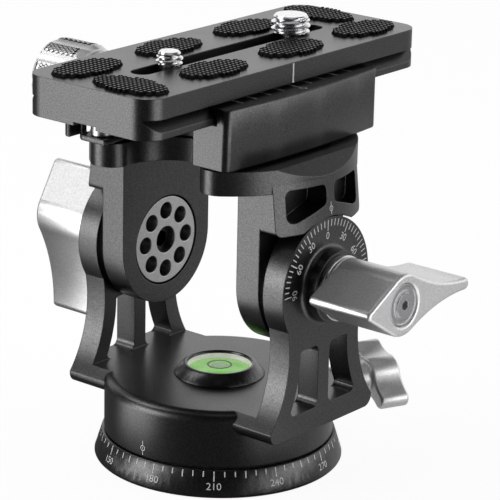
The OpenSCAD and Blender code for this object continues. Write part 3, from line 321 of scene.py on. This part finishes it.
# %% Mix the other finishes
silver_blasted = grained("silver_blasted", (0.66, 0.66, 0.665), (0.8, 0.8, 0.805), 1,
                         (0.38, 0.48), 0.5, 0.03)
grey_satin = grained("grey_satin", (0.48, 0.48, 0.485), (0.58, 0.58, 0.585), 1,
                     (0.28, 0.38), 0.35, 0.012)
# Dark steel for the axles; on the clamp knob the same finish is painted shade in the knurl's grooves.
dark_steel_and_groove_shade = grained("dark_steel_and_groove_shade", (0.03, 0.03, 0.03), (0.05, 0.05, 0.05), 1,
                     (0.3, 0.4), 0.4, 0.006)
turned_steel = grained("turned_steel", (0.42, 0.42, 0.43), (0.52, 0.52, 0.53), 1,
                       (0.24, 0.34), 0.5, 0.006)
polished_steel = grained("polished_steel", (0.66, 0.66, 0.67), (0.76, 0.76, 0.77), 1,
                         (0.16, 0.26), 0.6, 0.003)
bronze = grained("turned_bronze", (0.42, 0.28, 0.12), (0.52, 0.36, 0.17), 1,
                 (0.28, 0.4), 0.5, 0.006)
pad_rubber = grained("pad_rubber", (0.0012, 0.0012, 0.0012), (0.003, 0.003, 0.003), 0,
                     (0.6, 0.75), 0.25, 0.01, specular=0.12)
pad_shine = grained("pad_shine", (0.01, 0.01, 0.01), (0.02, 0.02, 0.021), 0,
                    (0.36, 0.46), 0.25, 0.01, specular=0.6)
bearing_plastic = grained("bearing_plastic", (0.55, 0.54, 0.5), (0.66, 0.65, 0.61), 0,
                          (0.45, 0.6), 0.5, 0.01)
scale_paint = grained("scale_paint", (0.7, 0.7, 0.7), (0.88, 0.88, 0.88), 0,
                      (0.5, 0.65), 0.2, 0.01, specular=0.3)
finish_of = {
    black_anodised: ["base_ring", "pan_yoke", "tilt_cradle", "clamp_body", "moving_jaw",
                     "camera_plate", "level_cup"],
    silver_blasted: ["pan_lock_knob", "tilt_handle_right", "tilt_handle_left", "clamp_knob"],
    grey_satin: ["face_nut_right", "face_nut_left", "stop_pins"],
    dark_steel_and_groove_shade: ["tilt_axle_right", "tilt_axle_left"],
    turned_steel: ["handle_screw_right", "handle_screw_left", "thread_insert", "spindle_screws",
                   "retaining_cap", "cap_screws", "pan_lock_stud", "clamp_bolts", "jaw_guide_pins",
                   "clamp_screw", "screw_clip", "quarter_clip", "three_eighths_clip"],
    polished_steel: ["handle_collar_right", "handle_collar_left", "quarter_screw",
                     "three_eighths_screw"],
    bronze: ["pan_spindle", "brake_shoe", "tilt_bushing_right", "tilt_bushing_left"],
    bearing_plastic: ["pan_washer", "cap_washer", "friction_washer_right", "friction_washer_left"],
    pad_rubber: ["plate_pads"],
}
for finish, names in finish_of.items():
    for name in names:
        solids[name].data.materials.clear()
        solids[name].data.materials.append(finish)
print("solids with a finish:", sum(len(names) for names in finish_of.values()))

# %% [markdown]
# ## Broken edges
# A machined edge is never a knife: it is broken by a narrow bevel, and that bevel is the bright
# line that outlines a piece in the light. A real bevel holds up from every side. Weld joins the
# vertices that the file keeps apart face by face, Decimate melts the flat triangles together, and
# Bevel then finds clean edges to work on. The yoke, the cradle and the plate have corners too
# tight for it, so on them only the black finish rounds the edges, in the shader.

# %% Bevel the visible solids
def break_edges(name, width_mm, segments):
    """Adds a bevel of that width to a solid's edges."""
    solid = solids[name]
    join = solid.modifiers.new("join_faces", "WELD")
    join.merge_threshold = 2e-6
    melt = solid.modifiers.new("melt_flats", "DECIMATE")
    melt.decimate_type = "DISSOLVE"
    melt.angle_limit = math.radians(0.6)
    bevel = solid.modifiers.new("broken_edge", "BEVEL")
    bevel.width = width_mm * MM
    bevel.segments = segments
    bevel.limit_method = "ANGLE"
    bevel.angle_limit = math.radians(28)
    bevel.use_clamp_overlap = False
    bevel.harden_normals = True


edge_width = {
    "base_ring": 0.25, "clamp_body": 0.5, "moving_jaw": 0.4, "tilt_handle_right": 0.9,
    "tilt_handle_left": 0.9, "pan_lock_knob": 0.7, "face_nut_right": 0.2, "face_nut_left": 0.2,
    "level_cup": 0.25, "handle_collar_right": 0.2, "handle_collar_left": 0.2,
    "handle_screw_right": 0.15, "handle_screw_left": 0.15, "stop_pins": 0.4,
}
wide_edge = 0.5
for name, width in edge_width.items():
    break_edges(name, width, 3 if width > wide_edge else 2)
print("edges broken on:", len(edge_width), "solids")

# %% [markdown]
# ## Painted scales
# The ring, the uprights, the ears, the clamp, the drum and the plate carry white marks, cut by laser
# and filled. Text objects could be bent with modifiers, but it is plainer to lay every mark out flat in
# millimetres and carry each corner onto the real surface with a small formula, a hair above the metal.

# %% Flat marks in millimetres
def bar(u, v0, v1, width):
    """One upright stroke."""
    return [[(u - width / 2, v0), (u + width / 2, v0), (u + width / 2, v1), (u - width / 2, v1)]]


def ring(u, v, radius, width, steps=28):
    """A thin circle, as a row of small four-sided faces."""
    spots = [(math.cos(FULL_TURN * i / steps), math.sin(FULL_TURN * i / steps))
             for i in range(steps + 1)]
    inner, outer = radius - width / 2, radius + width / 2
    return [[(u + inner * a[0], v + inner * a[1]), (u + outer * a[0], v + outer * a[1]),
             (u + outer * b[0], v + outer * b[1]), (u + inner * b[0], v + inner * b[1])]
            for a, b in zip(spots, spots[1:])]


def reading_mark(low_stem, eye, dash, high_stem, stem_width, eye_width=0.18, dash_width=0.16):
    """A circle with a dash in it, between two stems. Each pair is a start and an end, or a
    height and a radius for the circle."""
    return (bar(0, *low_stem, stem_width) + ring(0, *eye, eye_width)
            + bar(0, *dash, dash_width) + bar(0, *high_stem, stem_width))


def figures(text, tall):
    """The faces of a number, centred across, standing on the line v = 0."""
    curve = bpy.data.curves.new("figures", "FONT")
    curve.body, curve.align_x, curve.resolution_u = text, "CENTER", 4
    holder = bpy.data.objects.new("figures", curve)
    bpy.context.scene.collection.objects.link(holder)
    ready = holder.evaluated_get(bpy.context.evaluated_depsgraph_get())
    mesh = bpy.data.meshes.new_from_object(ready)
    heights = [v.co.y for v in mesh.vertices]
    foot = min(heights)
    k = tall / (max(heights) - foot)
    faces = [[(mesh.vertices[i].co.x * k, (mesh.vertices[i].co.y - foot) * k) for i in p.vertices]
             for p in mesh.polygons]
    bpy.data.objects.remove(holder)
    bpy.data.curves.remove(curve)
    bpy.data.meshes.remove(mesh)
    return faces


def moved(faces, du, dv, turn=0.0):
    """The same faces, turned about the origin and then shifted."""
    c, s = math.cos(turn), math.sin(turn)
    return [[(u * c - v * s + du, u * s + v * c + dv) for u, v in f] for f in faces]


print("a circle mark has", len(ring(0, 0, 1, 0.2)), "faces")

# %% Lay marks on a surface
def paint_marks(name, faces, place, body, lift_mm=0.03):
    """Carries flat faces onto a surface: place(u, v) gives the point and the outward direction."""
    points, cells, known = [], [], {}
    for f in faces:
        cell = []
        for u, v in f:
            key = (round(u, 5), round(v, 5))
            if key not in known:
                p, n = place(u, v)
                known[key] = len(points)
                points.append((Vector(p) + Vector(n).normalized() * lift_mm) * MM)
            cell.append(known[key])
        if len(set(cell)) > 2:
            cells.append(cell)
    mesh = bpy.data.meshes.new(name)
    mesh.from_pydata(points, [], cells)
    mesh.materials.append(scale_paint)
    outward = Vector(place(*faces[0][0])[1])
    if mesh.polygons[0].normal.dot(outward) < 0:
        mesh.flip_normals()
    piece = bpy.data.objects.new(name, mesh)
    bpy.context.scene.collection.objects.link(piece)
    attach(piece, body)
    print(name, "faces:", len(cells))


# %% [markdown]
# ## The degree ring and its reading mark
# The base carries a full circle of degrees on its sloping side, and the drum above it a small mark
# to read them by. A flat decal would not sit on a cone, so each point is sent round the cone by its
# own angle. The marks ride on the base and the reading mark on the drum, so they part as it pans.

# %% The degree ring on the base
ring_top, ring_top_z, slope = 28.4, 6.6, math.atan2(1.9, 6.0)


def on_base(u, v):
    """u runs round the ring in millimetres at its top, v down its slope."""
    around = u / ring_top
    r, z = ring_top + v * math.sin(slope), ring_top_z - v * math.cos(slope)
    n = (math.cos(around) * math.cos(slope), math.sin(around) * math.cos(slope), math.sin(slope))
    return (r * math.cos(around), r * math.sin(around), z), n


degree_at_right = 262
tick_start, tick_width = 0.35, 0.28
long_tick, middle_tick, short_tick = 2.3, 1.7, 1.3
figure_foot, figure_tall = 4.7, 1.65
degree_marks = []
for degree in range(0, 360, 5):
    u = ring_top * math.radians(degree - degree_at_right)
    numbered = degree % 30 == 0
    length = long_tick if numbered else middle_tick if degree % 15 == 0 else short_tick
    degree_marks += bar(u, tick_start, tick_start + length, tick_width)
    if numbered:
        number = moved(figures(str(degree), figure_tall), u, 0)
        degree_marks += [[(a, figure_foot - b) for a, b in f] for f in number]
paint_marks("degree_ring_marks", degree_marks, on_base, "base")

# %% The reading mark on the drum
drum_r = 27.9


def on_drum(u, v):
    """u runs round the drum from its front, v is the height."""
    around = math.radians(-90) + u / drum_r
    out = (math.cos(around), math.sin(around), 0)
    return (drum_r * math.cos(around), drum_r * math.sin(around), v), out


drum_mark = reading_mark((7.3, 8.4), (9.05, 0.62), (8.75, 9.35), (9.7, 10.9), 0.18)
paint_marks("drum_reading_mark", drum_mark, on_drum, "yoke")

# %% [markdown]
# ## The tilt scales
# Each upright has a half circle of degrees round its axle, and each ear of the cradle a mark that
# points at it. One scale is laid out once and turned tick by tick, then used on both sides:
# the left one is the right one turned half round, so its numbers also read from outside.

# %% The tilt scales on the uprights and the marks on the ears
tilt_z, face_x = 50.4, 31.7
tick_out, tick_in, number_tick_in, tilt_tick_width = 15.5, 13.9, 12.9, 0.26
tilt_figure_foot, tilt_figure_tall = 10.9, 1.75
ear_top_z, ear_lean = 76.5, 0.1
tilt_marks = []
for degree in range(-90, 91, 5):
    lean = -math.radians(degree)
    numbered = degree % 30 == 0
    tick = bar(0, number_tick_in if numbered else tick_in, tick_out, tilt_tick_width)
    tilt_marks += moved(tick, 0, 0, lean)
    if numbered:
        number = moved(figures(str(abs(degree)), tilt_figure_tall), 0, tilt_figure_foot)
        tilt_marks += moved(number, 0, 0, lean)
ear_mark = reading_mark((67.5, 68.35), (68.9, 0.55), (68.65, 69.15), (69.45, 70.5), 0.2)
for side, word in ((1, "right"), (-1, "left")):
    def on_upright(u, v):
        return (side * face_x, side * u, tilt_z + v), (side, 0, 0)

    def on_ear(u, v):
        out = face_x + ear_lean * (ear_top_z - v)
        return (side * out, side * u, v), (side, 0, ear_lean)

    paint_marks("tilt_scale_" + word, tilt_marks, on_upright, "yoke")
    paint_marks("ear_mark_" + word, ear_mark, on_ear, "cradle")

# %% [markdown]
# ## The marks on the clamp and the plate
# The clamp has nine short strokes across its top and a circle at the middle one, and the plate a single
# stroke on its side, so that a camera can be set back where it was. Both surfaces are flat, so
# the formula is only a change of axes. The plate's stroke rides on the plate and slides with it.

# %% The strokes on the clamp and the plate
plate_y, plate_side_x, clamp_top_z = 1.7, 19.0, 95.15
stroke_step, stroke_from, stroke_to = 5, 16.9, 20.6
jaw_marks = [f for step in range(-4, 5)
             for f in moved(bar(0, stroke_from, stroke_to, 0.22), plate_y + stroke_step * step, 0)]
jaw_marks += ring(plate_y, 22.0, 0.75, 0.2)
jaw_marks += bar(plate_y, stroke_to, 21.2, 0.2) + bar(plate_y, 22.8, 23.4, 0.2)
paint_marks("jaw_scale", jaw_marks, lambda u, v: ((v, u, clamp_top_z), (0, 0, 1)), "cradle")
paint_marks("plate_middle_mark", bar(plate_y, 95.95, 100.5, 0.5),
            lambda u, v: ((plate_side_x, u, v), (1, 0, 0)), "plate")

# %% [markdown]
# ## From points to pieces
# The pads, screws, knob and level are all rows of points joined by four-sided faces. Blender has
# modifiers for turning and winding, but plain lists keep each number in sight. One helper joins two
# rows, and another makes the mesh, turns its faces outward, and lets it ride on its body.

# %% Join rows and make a piece
def joined(a, b):
    """The four-sided faces between two closed rows of points."""
    n = len(a)
    return [[a[i], a[(i + 1) % n], b[(i + 1) % n], b[i]] for i in range(n)]


def make_piece(name, points, faces, finish, body, replaces=(), slot=None, smooth_angle=None):
    """A mesh on a body, with smooth shading below that angle between its faces."""
    mesh = bpy.data.meshes.new(name)
    mesh.from_pydata(points, [], faces)
    mesh.materials.append(finish)
    work = bmesh.new()
    work.from_mesh(mesh)
    bmesh.ops.recalc_face_normals(work, faces=work.faces)
    work.to_mesh(mesh)
    work.free()
    if smooth_angle:
        mesh.shade_smooth()
        mesh.set_sharp_from_angle(angle=math.radians(smooth_angle))
    piece = bpy.data.objects.new(name, mesh)
    bpy.context.scene.collection.objects.link(piece)
    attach(piece, body)
    if replaces:
        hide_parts(*replaces)
    print(name, "faces:", len(faces))
    return piece


def second_finish(piece, finish, faces):
    """Gives some of a piece's faces another finish."""
    piece.data.materials.append(finish)
    for face in faces:
        piece.data.polygons[face].material_index = 1


# %% [markdown]
# ## Grip pads
# Eight rubber pads stop the camera from twisting. Each is a thin oval, bowed along its sides and
# round at its ends, with a field of small blunt pyramids on it. A bump texture would go flat at the
# rim, so the pyramids are real: four corners and a small flat top for each cell of a grid. A cell that
# crosses the rim is drawn in until it fits, and the flat tops are a little shinier from use.

# %% The outline of a pad
pad_long, pad_wide, pad_end = 20.2, 11.2, 3.8
pad_reach = pad_long / 2 - pad_end
pad_bow = (pad_reach ** 2 + (pad_wide / 2) ** 2 - pad_end ** 2) / (2 * (pad_wide / 2 - pad_end))
pad_touch = pad_reach * pad_bow / (pad_bow - pad_end)
rim_gap = 0.02


def pad_inset(u, v):
    """How far a point lies inside a pad's outline, with the long side along v."""
    if abs(v) < pad_touch:
        return pad_bow - math.hypot(abs(u) + pad_bow - pad_wide / 2, v)
    return pad_end - math.hypot(u, abs(v) - pad_reach)


def pad_rim(steps=80):
    """Points round the outline, each found by halving along its ray."""
    spots = []
    for i in range(steps):
        a = FULL_TURN * i / steps
        low, high = 0.0, pad_long
        for _ in range(30):
            r = (low + high) / 2
            if pad_inset(r * math.cos(a), r * math.sin(a)) > 0:
                low = r
            else:
                high = r
        spots.append((low * math.cos(a), low * math.sin(a)))
    return spots


def held_in(u, v, u0, v0):
    """Draws a corner back toward its cell's middle until it lies inside the outline."""
    if pad_inset(u, v) > rim_gap:
        return u, v
    keep, drop = 0.0, 1.0
    for _ in range(16):
        t = (keep + drop) / 2
        if pad_inset(u0 + t * (u - u0), v0 + t * (v - v0)) > rim_gap:
            keep = t
        else:
            drop = t
    return u0 + keep * (u - u0), v0 + keep * (v - v0)


rim = pad_rim()
print("pad outline:", len(rim), "points, sides bowed to a radius of", round(pad_bow, 1), "mm")

# %% Build the eight pads
pad_low_z, pad_top_z, stud_top_z = 99.7, 100.8, 101.5
stud_pitch, stud_flat, stud_sink, least_inset = 1.3, 0.33, 0.05, 0.12
row_x, row_start, row_step = -10.6, -9.6, 28
end_x, end_y = -7.0, 42.6
pad_places = []
for half_turn in (0, math.pi):
    pad_places += [(row_x, row_step * step + row_start, 0.0, half_turn) for step in (-1, 0, 1)]
    pad_places.append((end_x, end_y, math.pi / 2, half_turn))
pad_points, pad_faces, pad_tops = [], [], []
square = ((-1, -1), (1, -1), (1, 1), (-1, 1))


def pad_corner(u, v, z, spot):
    """Adds a point of a pad at its place on the plate."""
    x0, y0, lean, half_turn = spot
    x = x0 + u * math.cos(lean) - v * math.sin(lean)
    y = y0 + u * math.sin(lean) + v * math.cos(lean)
    c, s = math.cos(half_turn), math.sin(half_turn)
    pad_points.append(Vector((x * c - y * s, x * s + y * c + plate_y, z)) * MM)
    return len(pad_points) - 1


def pad_stud(u, v, spot):
    """Adds one blunt pyramid."""
    half = stud_pitch / 2
    foot = [pad_corner(*held_in(u + a * half, v + b * half, u, v), pad_top_z - stud_sink, spot)
            for a, b in square]
    peak = [pad_corner(*held_in(u + a * stud_flat, v + b * stud_flat, u, v), stud_top_z, spot)
            for a, b in square]
    pad_tops.append(len(pad_faces))
    pad_faces.append(peak)
    pad_faces.extend(joined(foot, peak))


for spot in pad_places:
    top = [pad_corner(u, v, pad_top_z, spot) for u, v in rim]
    foot = [pad_corner(u, v, pad_low_z, spot) for u, v in rim]
    pad_faces.append(top)
    pad_faces += joined(foot, top)
    for i in range(-5, 6):
        for j in range(-8, 9):
            if pad_inset(i * stud_pitch, j * stud_pitch) >= least_inset * stud_pitch:
                pad_stud(i * stud_pitch, j * stud_pitch, spot)
grip_pads = make_piece("grip_pads", pad_points, pad_faces, pad_rubber, "plate", ["plate_pads"],
                       "rubber")
second_finish(grip_pads, pad_shine, pad_tops)

# %% [markdown]
# ## Camera screws
# The two screws that hold the camera are polished steel with real threads, 20 and 16 turns to the
# inch. A screw modifier could wind one, but a thread is a simple formula: the radius at any angle
# and height follows a wave that climbs one pitch a turn. A grid of such points needs no clean-up.

# %% Wind a thread
thread_foot_z, screw_head_r, screw_neck_r = 100.9, 6.5, 2.4
rows_per_turn, screw_around = 14, 64
head_profile = ((92.95, screw_head_r - 0.3), (93.25, screw_head_r), (95.25, screw_head_r),
                (95.55, screw_head_r - 0.3), (95.55, screw_neck_r), (thread_foot_z, screw_neck_r))


def threaded_screw(name, y, radius, pitch, top, body, node):
    """A head kept low in the plate's recess, a neck, and a threaded end with a chamfered tip."""
    points, rows, faces = [], [], []
    depth = 0.6 * pitch

    def thread(a, z):
        """The radius at an angle and a height."""
        phase = ((z - thread_foot_z) / pitch - a / FULL_TURN) % 1.0
        crest = min(1.0, max(0.0, 1.25 * abs(2 * phase - 1) - 0.06))
        limit = radius - depth * 0.75 + max(0.0, z - thread_foot_z) * 1.6
        if z > top - 1.6:
            tip = radius - 0.55 - max(0.0, z - (top - 0.45)) * 0.9
            limit = min(limit, tip + max(0.0, (top - 0.95) - z) * 1.4)
        return min(radius - depth * (1 - crest), max(limit, radius - 1.4 * depth))

    def row(z, radius_at):
        start = len(points)
        for i in range(screw_around):
            a = FULL_TURN * i / screw_around
            r = radius_at(a)
            points.append(Vector((r * math.cos(a), y + r * math.sin(a), z)) * MM)
        rows.append(list(range(start, start + screw_around)))

    for z, r in head_profile:
        row(z, lambda a: r)
    steps = int((top - thread_foot_z) / pitch * rows_per_turn)
    for i in range(steps + 1):
        z = thread_foot_z + (top - thread_foot_z) * i / steps
        row(z, lambda a: thread(a, z))
    row(top, lambda a: radius - depth - 0.55)
    for a, b in zip(rows, rows[1:]):
        faces += joined(a, b)
    faces += [rows[0], rows[-1]]
    make_piece(name, points, faces, polished_steel, body, [node], "polished_steel", 40)


threaded_screw("quarter_screw_threaded", plate_y - 21.6, 3.175, 1.27, 104.0,
               "quarter_turn", "quarter_screw")
threaded_screw("large_screw_threaded", plate_y + 22.7, 4.76, 1.5875, 105.3,
               "large_turn", "three_eighths_screw")

# %% [markdown]
# ## Clamp knob
# The knob that closes the clamp is turned aluminium with nine smooth flutes, and between them nine
# patches of diamond knurl. A boolean could cut the flutes, but a flute is a circle, so each
# ray's radius follows from a little geometry. The rows below are the knob's profile along its axis,
# and its body is a little thinner under the knurl.

# %% Turn the knob's body
knob_z, knob_out, flutes, knob_around = 84.6, 9.6, 9, 288
first_flute, flute_r, flute_deep = math.radians(7.5), 4.5, 0.6
stem_profile = ((30.16, 4.6), (31.1, 5.6), (38.9, 5.6), (39.5, 5.6), (39.5, 8.0), (39.8, 8.3),
                (41.6, 8.3), (41.9, 8.6))
grip_profile = ((42.0, 8.8), (43.4, 9.4), (43.8, 9.6), (44.6, 9.6), (44.8, 9.35), (54.4, 9.35),
                (54.6, 9.6), (55.1, 9.5), (55.6, 9.0))
end_profile = ((55.6, 4.0),)
knob_points, knob_faces = [], []


def knob_spot(x, r, a):
    """Adds a point at a distance along the knob, a radius and an angle."""
    knob_points.append(Vector((-x, plate_y + r * math.sin(a), knob_z + r * math.cos(a))) * MM)
    return len(knob_points) - 1


def from_flute(a):
    """How far an angle lies from the middle of the nearest flute."""
    return (a + first_flute + math.pi / flutes) % (FULL_TURN / flutes) - math.pi / flutes


def fluted(r, a):
    """The radius where a ray leaves the knob, with the round flutes cut in it."""
    off = from_flute(a)
    middle = knob_out + flute_r - flute_deep
    side = middle * math.sin(off)
    if abs(side) >= flute_r:
        return r
    return min(r, middle * math.cos(off) - math.sqrt(flute_r ** 2 - side ** 2))


def plain(r, a):
    """The radius where nothing is cut."""
    return r


knob_angles = [FULL_TURN * i / knob_around for i in range(knob_around)]
knob_rows = [[knob_spot(x, cut(r, a), a) for a in knob_angles]
             for profile, cut in ((stem_profile, plain), (grip_profile, fluted), (end_profile, plain))
             for x, r in profile]
for a, b in zip(knob_rows, knob_rows[1:]):
    knob_faces += joined(a, b)
knob_faces += [knob_rows[0], knob_rows[-1]]
print("knob rows:", len(knob_rows))

# %% [markdown]
# ## The knurl
# A knurl is rolled in, so it stands in rows of little flat-topped diamonds. A texture would leave the
# knob's outline smooth, so they are built one by one and bent round the knob. Their sloping sides
# take the axles' dark steel as painted shade, for the shadow in the grooves of a real knurl.

# %% Roll in the knurl
knurl_middle, along_pitch, round_pitch = 49.6, 0.8, 0.47
diamond_foot, diamond_top = (0.78, 0.46), (0.6, 0.36)
foot_sink, top_rise = 0.3, 0.1
diamond = ((-1, 0), (0, 1), (1, 0), (0, -1))
painted_shade_grooves = []


def diamond_row(x, turn, half_size, lift):
    """Four corners of a diamond, at that height over the fluted knob."""
    spots = []
    for along, across in diamond:
        a = turn + half_size[1] * across / knob_out
        spots.append(knob_spot(x + half_size[0] * along, fluted(knob_out, a) + lift, a))
    return spots


for patch in range(flutes):
    patch_middle = FULL_TURN * (patch + 0.5) / flutes - first_flute
    for i in range(-3, 4):
        for j in range(-5, 6):
            if (i + j) % 2:
                continue
            turn, x = patch_middle + i * round_pitch / knob_out, knurl_middle + j * along_pitch
            foot = diamond_row(x, turn, diamond_foot, -foot_sink)
            top = diamond_row(x, turn, diamond_top, top_rise)
            knob_faces.append(top)
            painted_shade_grooves += range(len(knob_faces), len(knob_faces) + len(diamond))
            knob_faces += joined(foot, top)
knurled = make_piece("clamp_knob_knurled", knob_points, knob_faces, silver_blasted, "clamp_knob",
                     ["clamp_knob"], "silver_aluminium", 30)
# The groove sides get the dark finish: painted shade in the knurl's grooves.
second_finish(knurled, dark_steel_and_groove_shade, painted_shade_grooves)

# %% [markdown]
# ## Bubble level
# A small round vial lies in a black cup on the drum. Green spirit fills it, and a black ring is
# printed there to centre the bubble. One glass solid would look empty, so the well is built as it is: a
# pale wall, a green floor and the ring. The wall and the spirit also glow a little in their own colour:
# a painted glow that lifts the shade of the well under the window.

# %% Fill the level
def lathe(rows, around=72, capped=False):
    """Points and faces of a turned shape, from radius and height, with a lid on its last row."""
    points, rings, faces = [], [], []
    for r, z in rows:
        rings.append(list(range(len(points), len(points) + around)))
        for i in range(around):
            a = FULL_TURN * i / around
            points.append(Vector((r * math.cos(a), r * math.sin(a), z)) * MM)
    for a, b in zip(rings, rings[1:]):
        faces += joined(a, b)
    if capped:
        faces.append(rings[-1])
    return points, faces


green_spirit = grained("green_spirit", (0.3, 0.78, 0.14), (0.38, 0.86, 0.2), 0,
                       (0.2, 0.3), 2.0, 0.002)
vial_wall = grained("vial_wall", (0.56, 0.52, 0.52), (0.66, 0.62, 0.61), 0,
                    (0.25, 0.35), 2.0, 0.002)
ring_black = grained("ring_black", (0.008, 0.008, 0.008), (0.014, 0.014, 0.014), 0,
                     (0.3, 0.4), 0.5, 0.002)
# Painted glow: the wall and the spirit give off light in their own colour, lifting the shade in the
# well.
for painted_glow_fill, strength in ((green_spirit, 0.36), (vial_wall, 0.5)):
    skin = painted_glow_fill.node_tree.nodes["Principled BSDF"]
    colour = skin.inputs["Base Color"].links[0].from_socket
    painted_glow_fill.node_tree.links.new(colour, skin.inputs["Emission Color"])
    skin.inputs["Emission Strength"].default_value = strength
well_corner = (7.6, 21.35)
make_piece("level_wall", *lathe([(7.85, 22.5), (7.8, 21.6), well_corner]), vial_wall, "yoke",
           ["level_vial"], None, 40)
make_piece("level_spirit", *lathe([well_corner, (6.0, 21.3), (3.0, 21.28)], capped=True),
           green_spirit, "yoke", (), "level_liquid", 40)
ring_in, ring_out, ring_low, ring_high = 2.6, 3.05, 22.42, 22.5
ring_section = [(ring_in, ring_low), (ring_out, ring_low), (ring_out, ring_high),
                (ring_in, ring_high), (ring_in, ring_low)]
make_piece("level_ring", *lathe(ring_section), ring_black, "yoke", (), None, 40)

# %% [markdown]
# ## The window and the bubble
# A domed clear window closes the vial, and a flat bubble floats under it. Glass with real refraction
# is slow and noisy at this size, and the export keeps little of it. A thin skin with a low alpha shows
# the spirit through, still catches the light on its dome, and looks the same everywhere.

# %% Close the level
level_glass = grained("level_glass", (0.9, 0.93, 0.9), (0.94, 0.96, 0.94), 0,
                      (0.02, 0.06), 3.0, 0.001)
bubble_skin = grained("bubble_skin", (0.75, 0.85, 0.72), (0.82, 0.9, 0.8), 0,
                      (0.04, 0.08), 2.0, 0.001)
for clear, alpha in ((level_glass, 0.16), (bubble_skin, 0.5)):
    clear.node_tree.nodes["Principled BSDF"].inputs["Alpha"].default_value = alpha
window_dome = [(7.85, 22.6), (7.4, 22.8), (5.5, 23.0), (2.8, 23.12), (0.6, 23.15)]
make_piece("level_window", *lathe(window_dome, capped=True), level_glass, "yoke",
           ["level_lens"], "level_lens", 60)
bubble_r, bubble_half, bubble_z, bubble_rows, pole_r = 2.1, 0.32, 22.1, 12, 0.02
bubble_arc = [(bubble_r * math.sin(math.pi * k / bubble_rows) + pole_r,
               bubble_z + bubble_half * math.cos(math.pi * k / bubble_rows))
              for k in range(bubble_rows + 1)]
make_piece("level_bubble_drop", *lathe(bubble_arc, 40), bubble_skin, "yoke",
           ["level_bubble"], "level_air", 60)
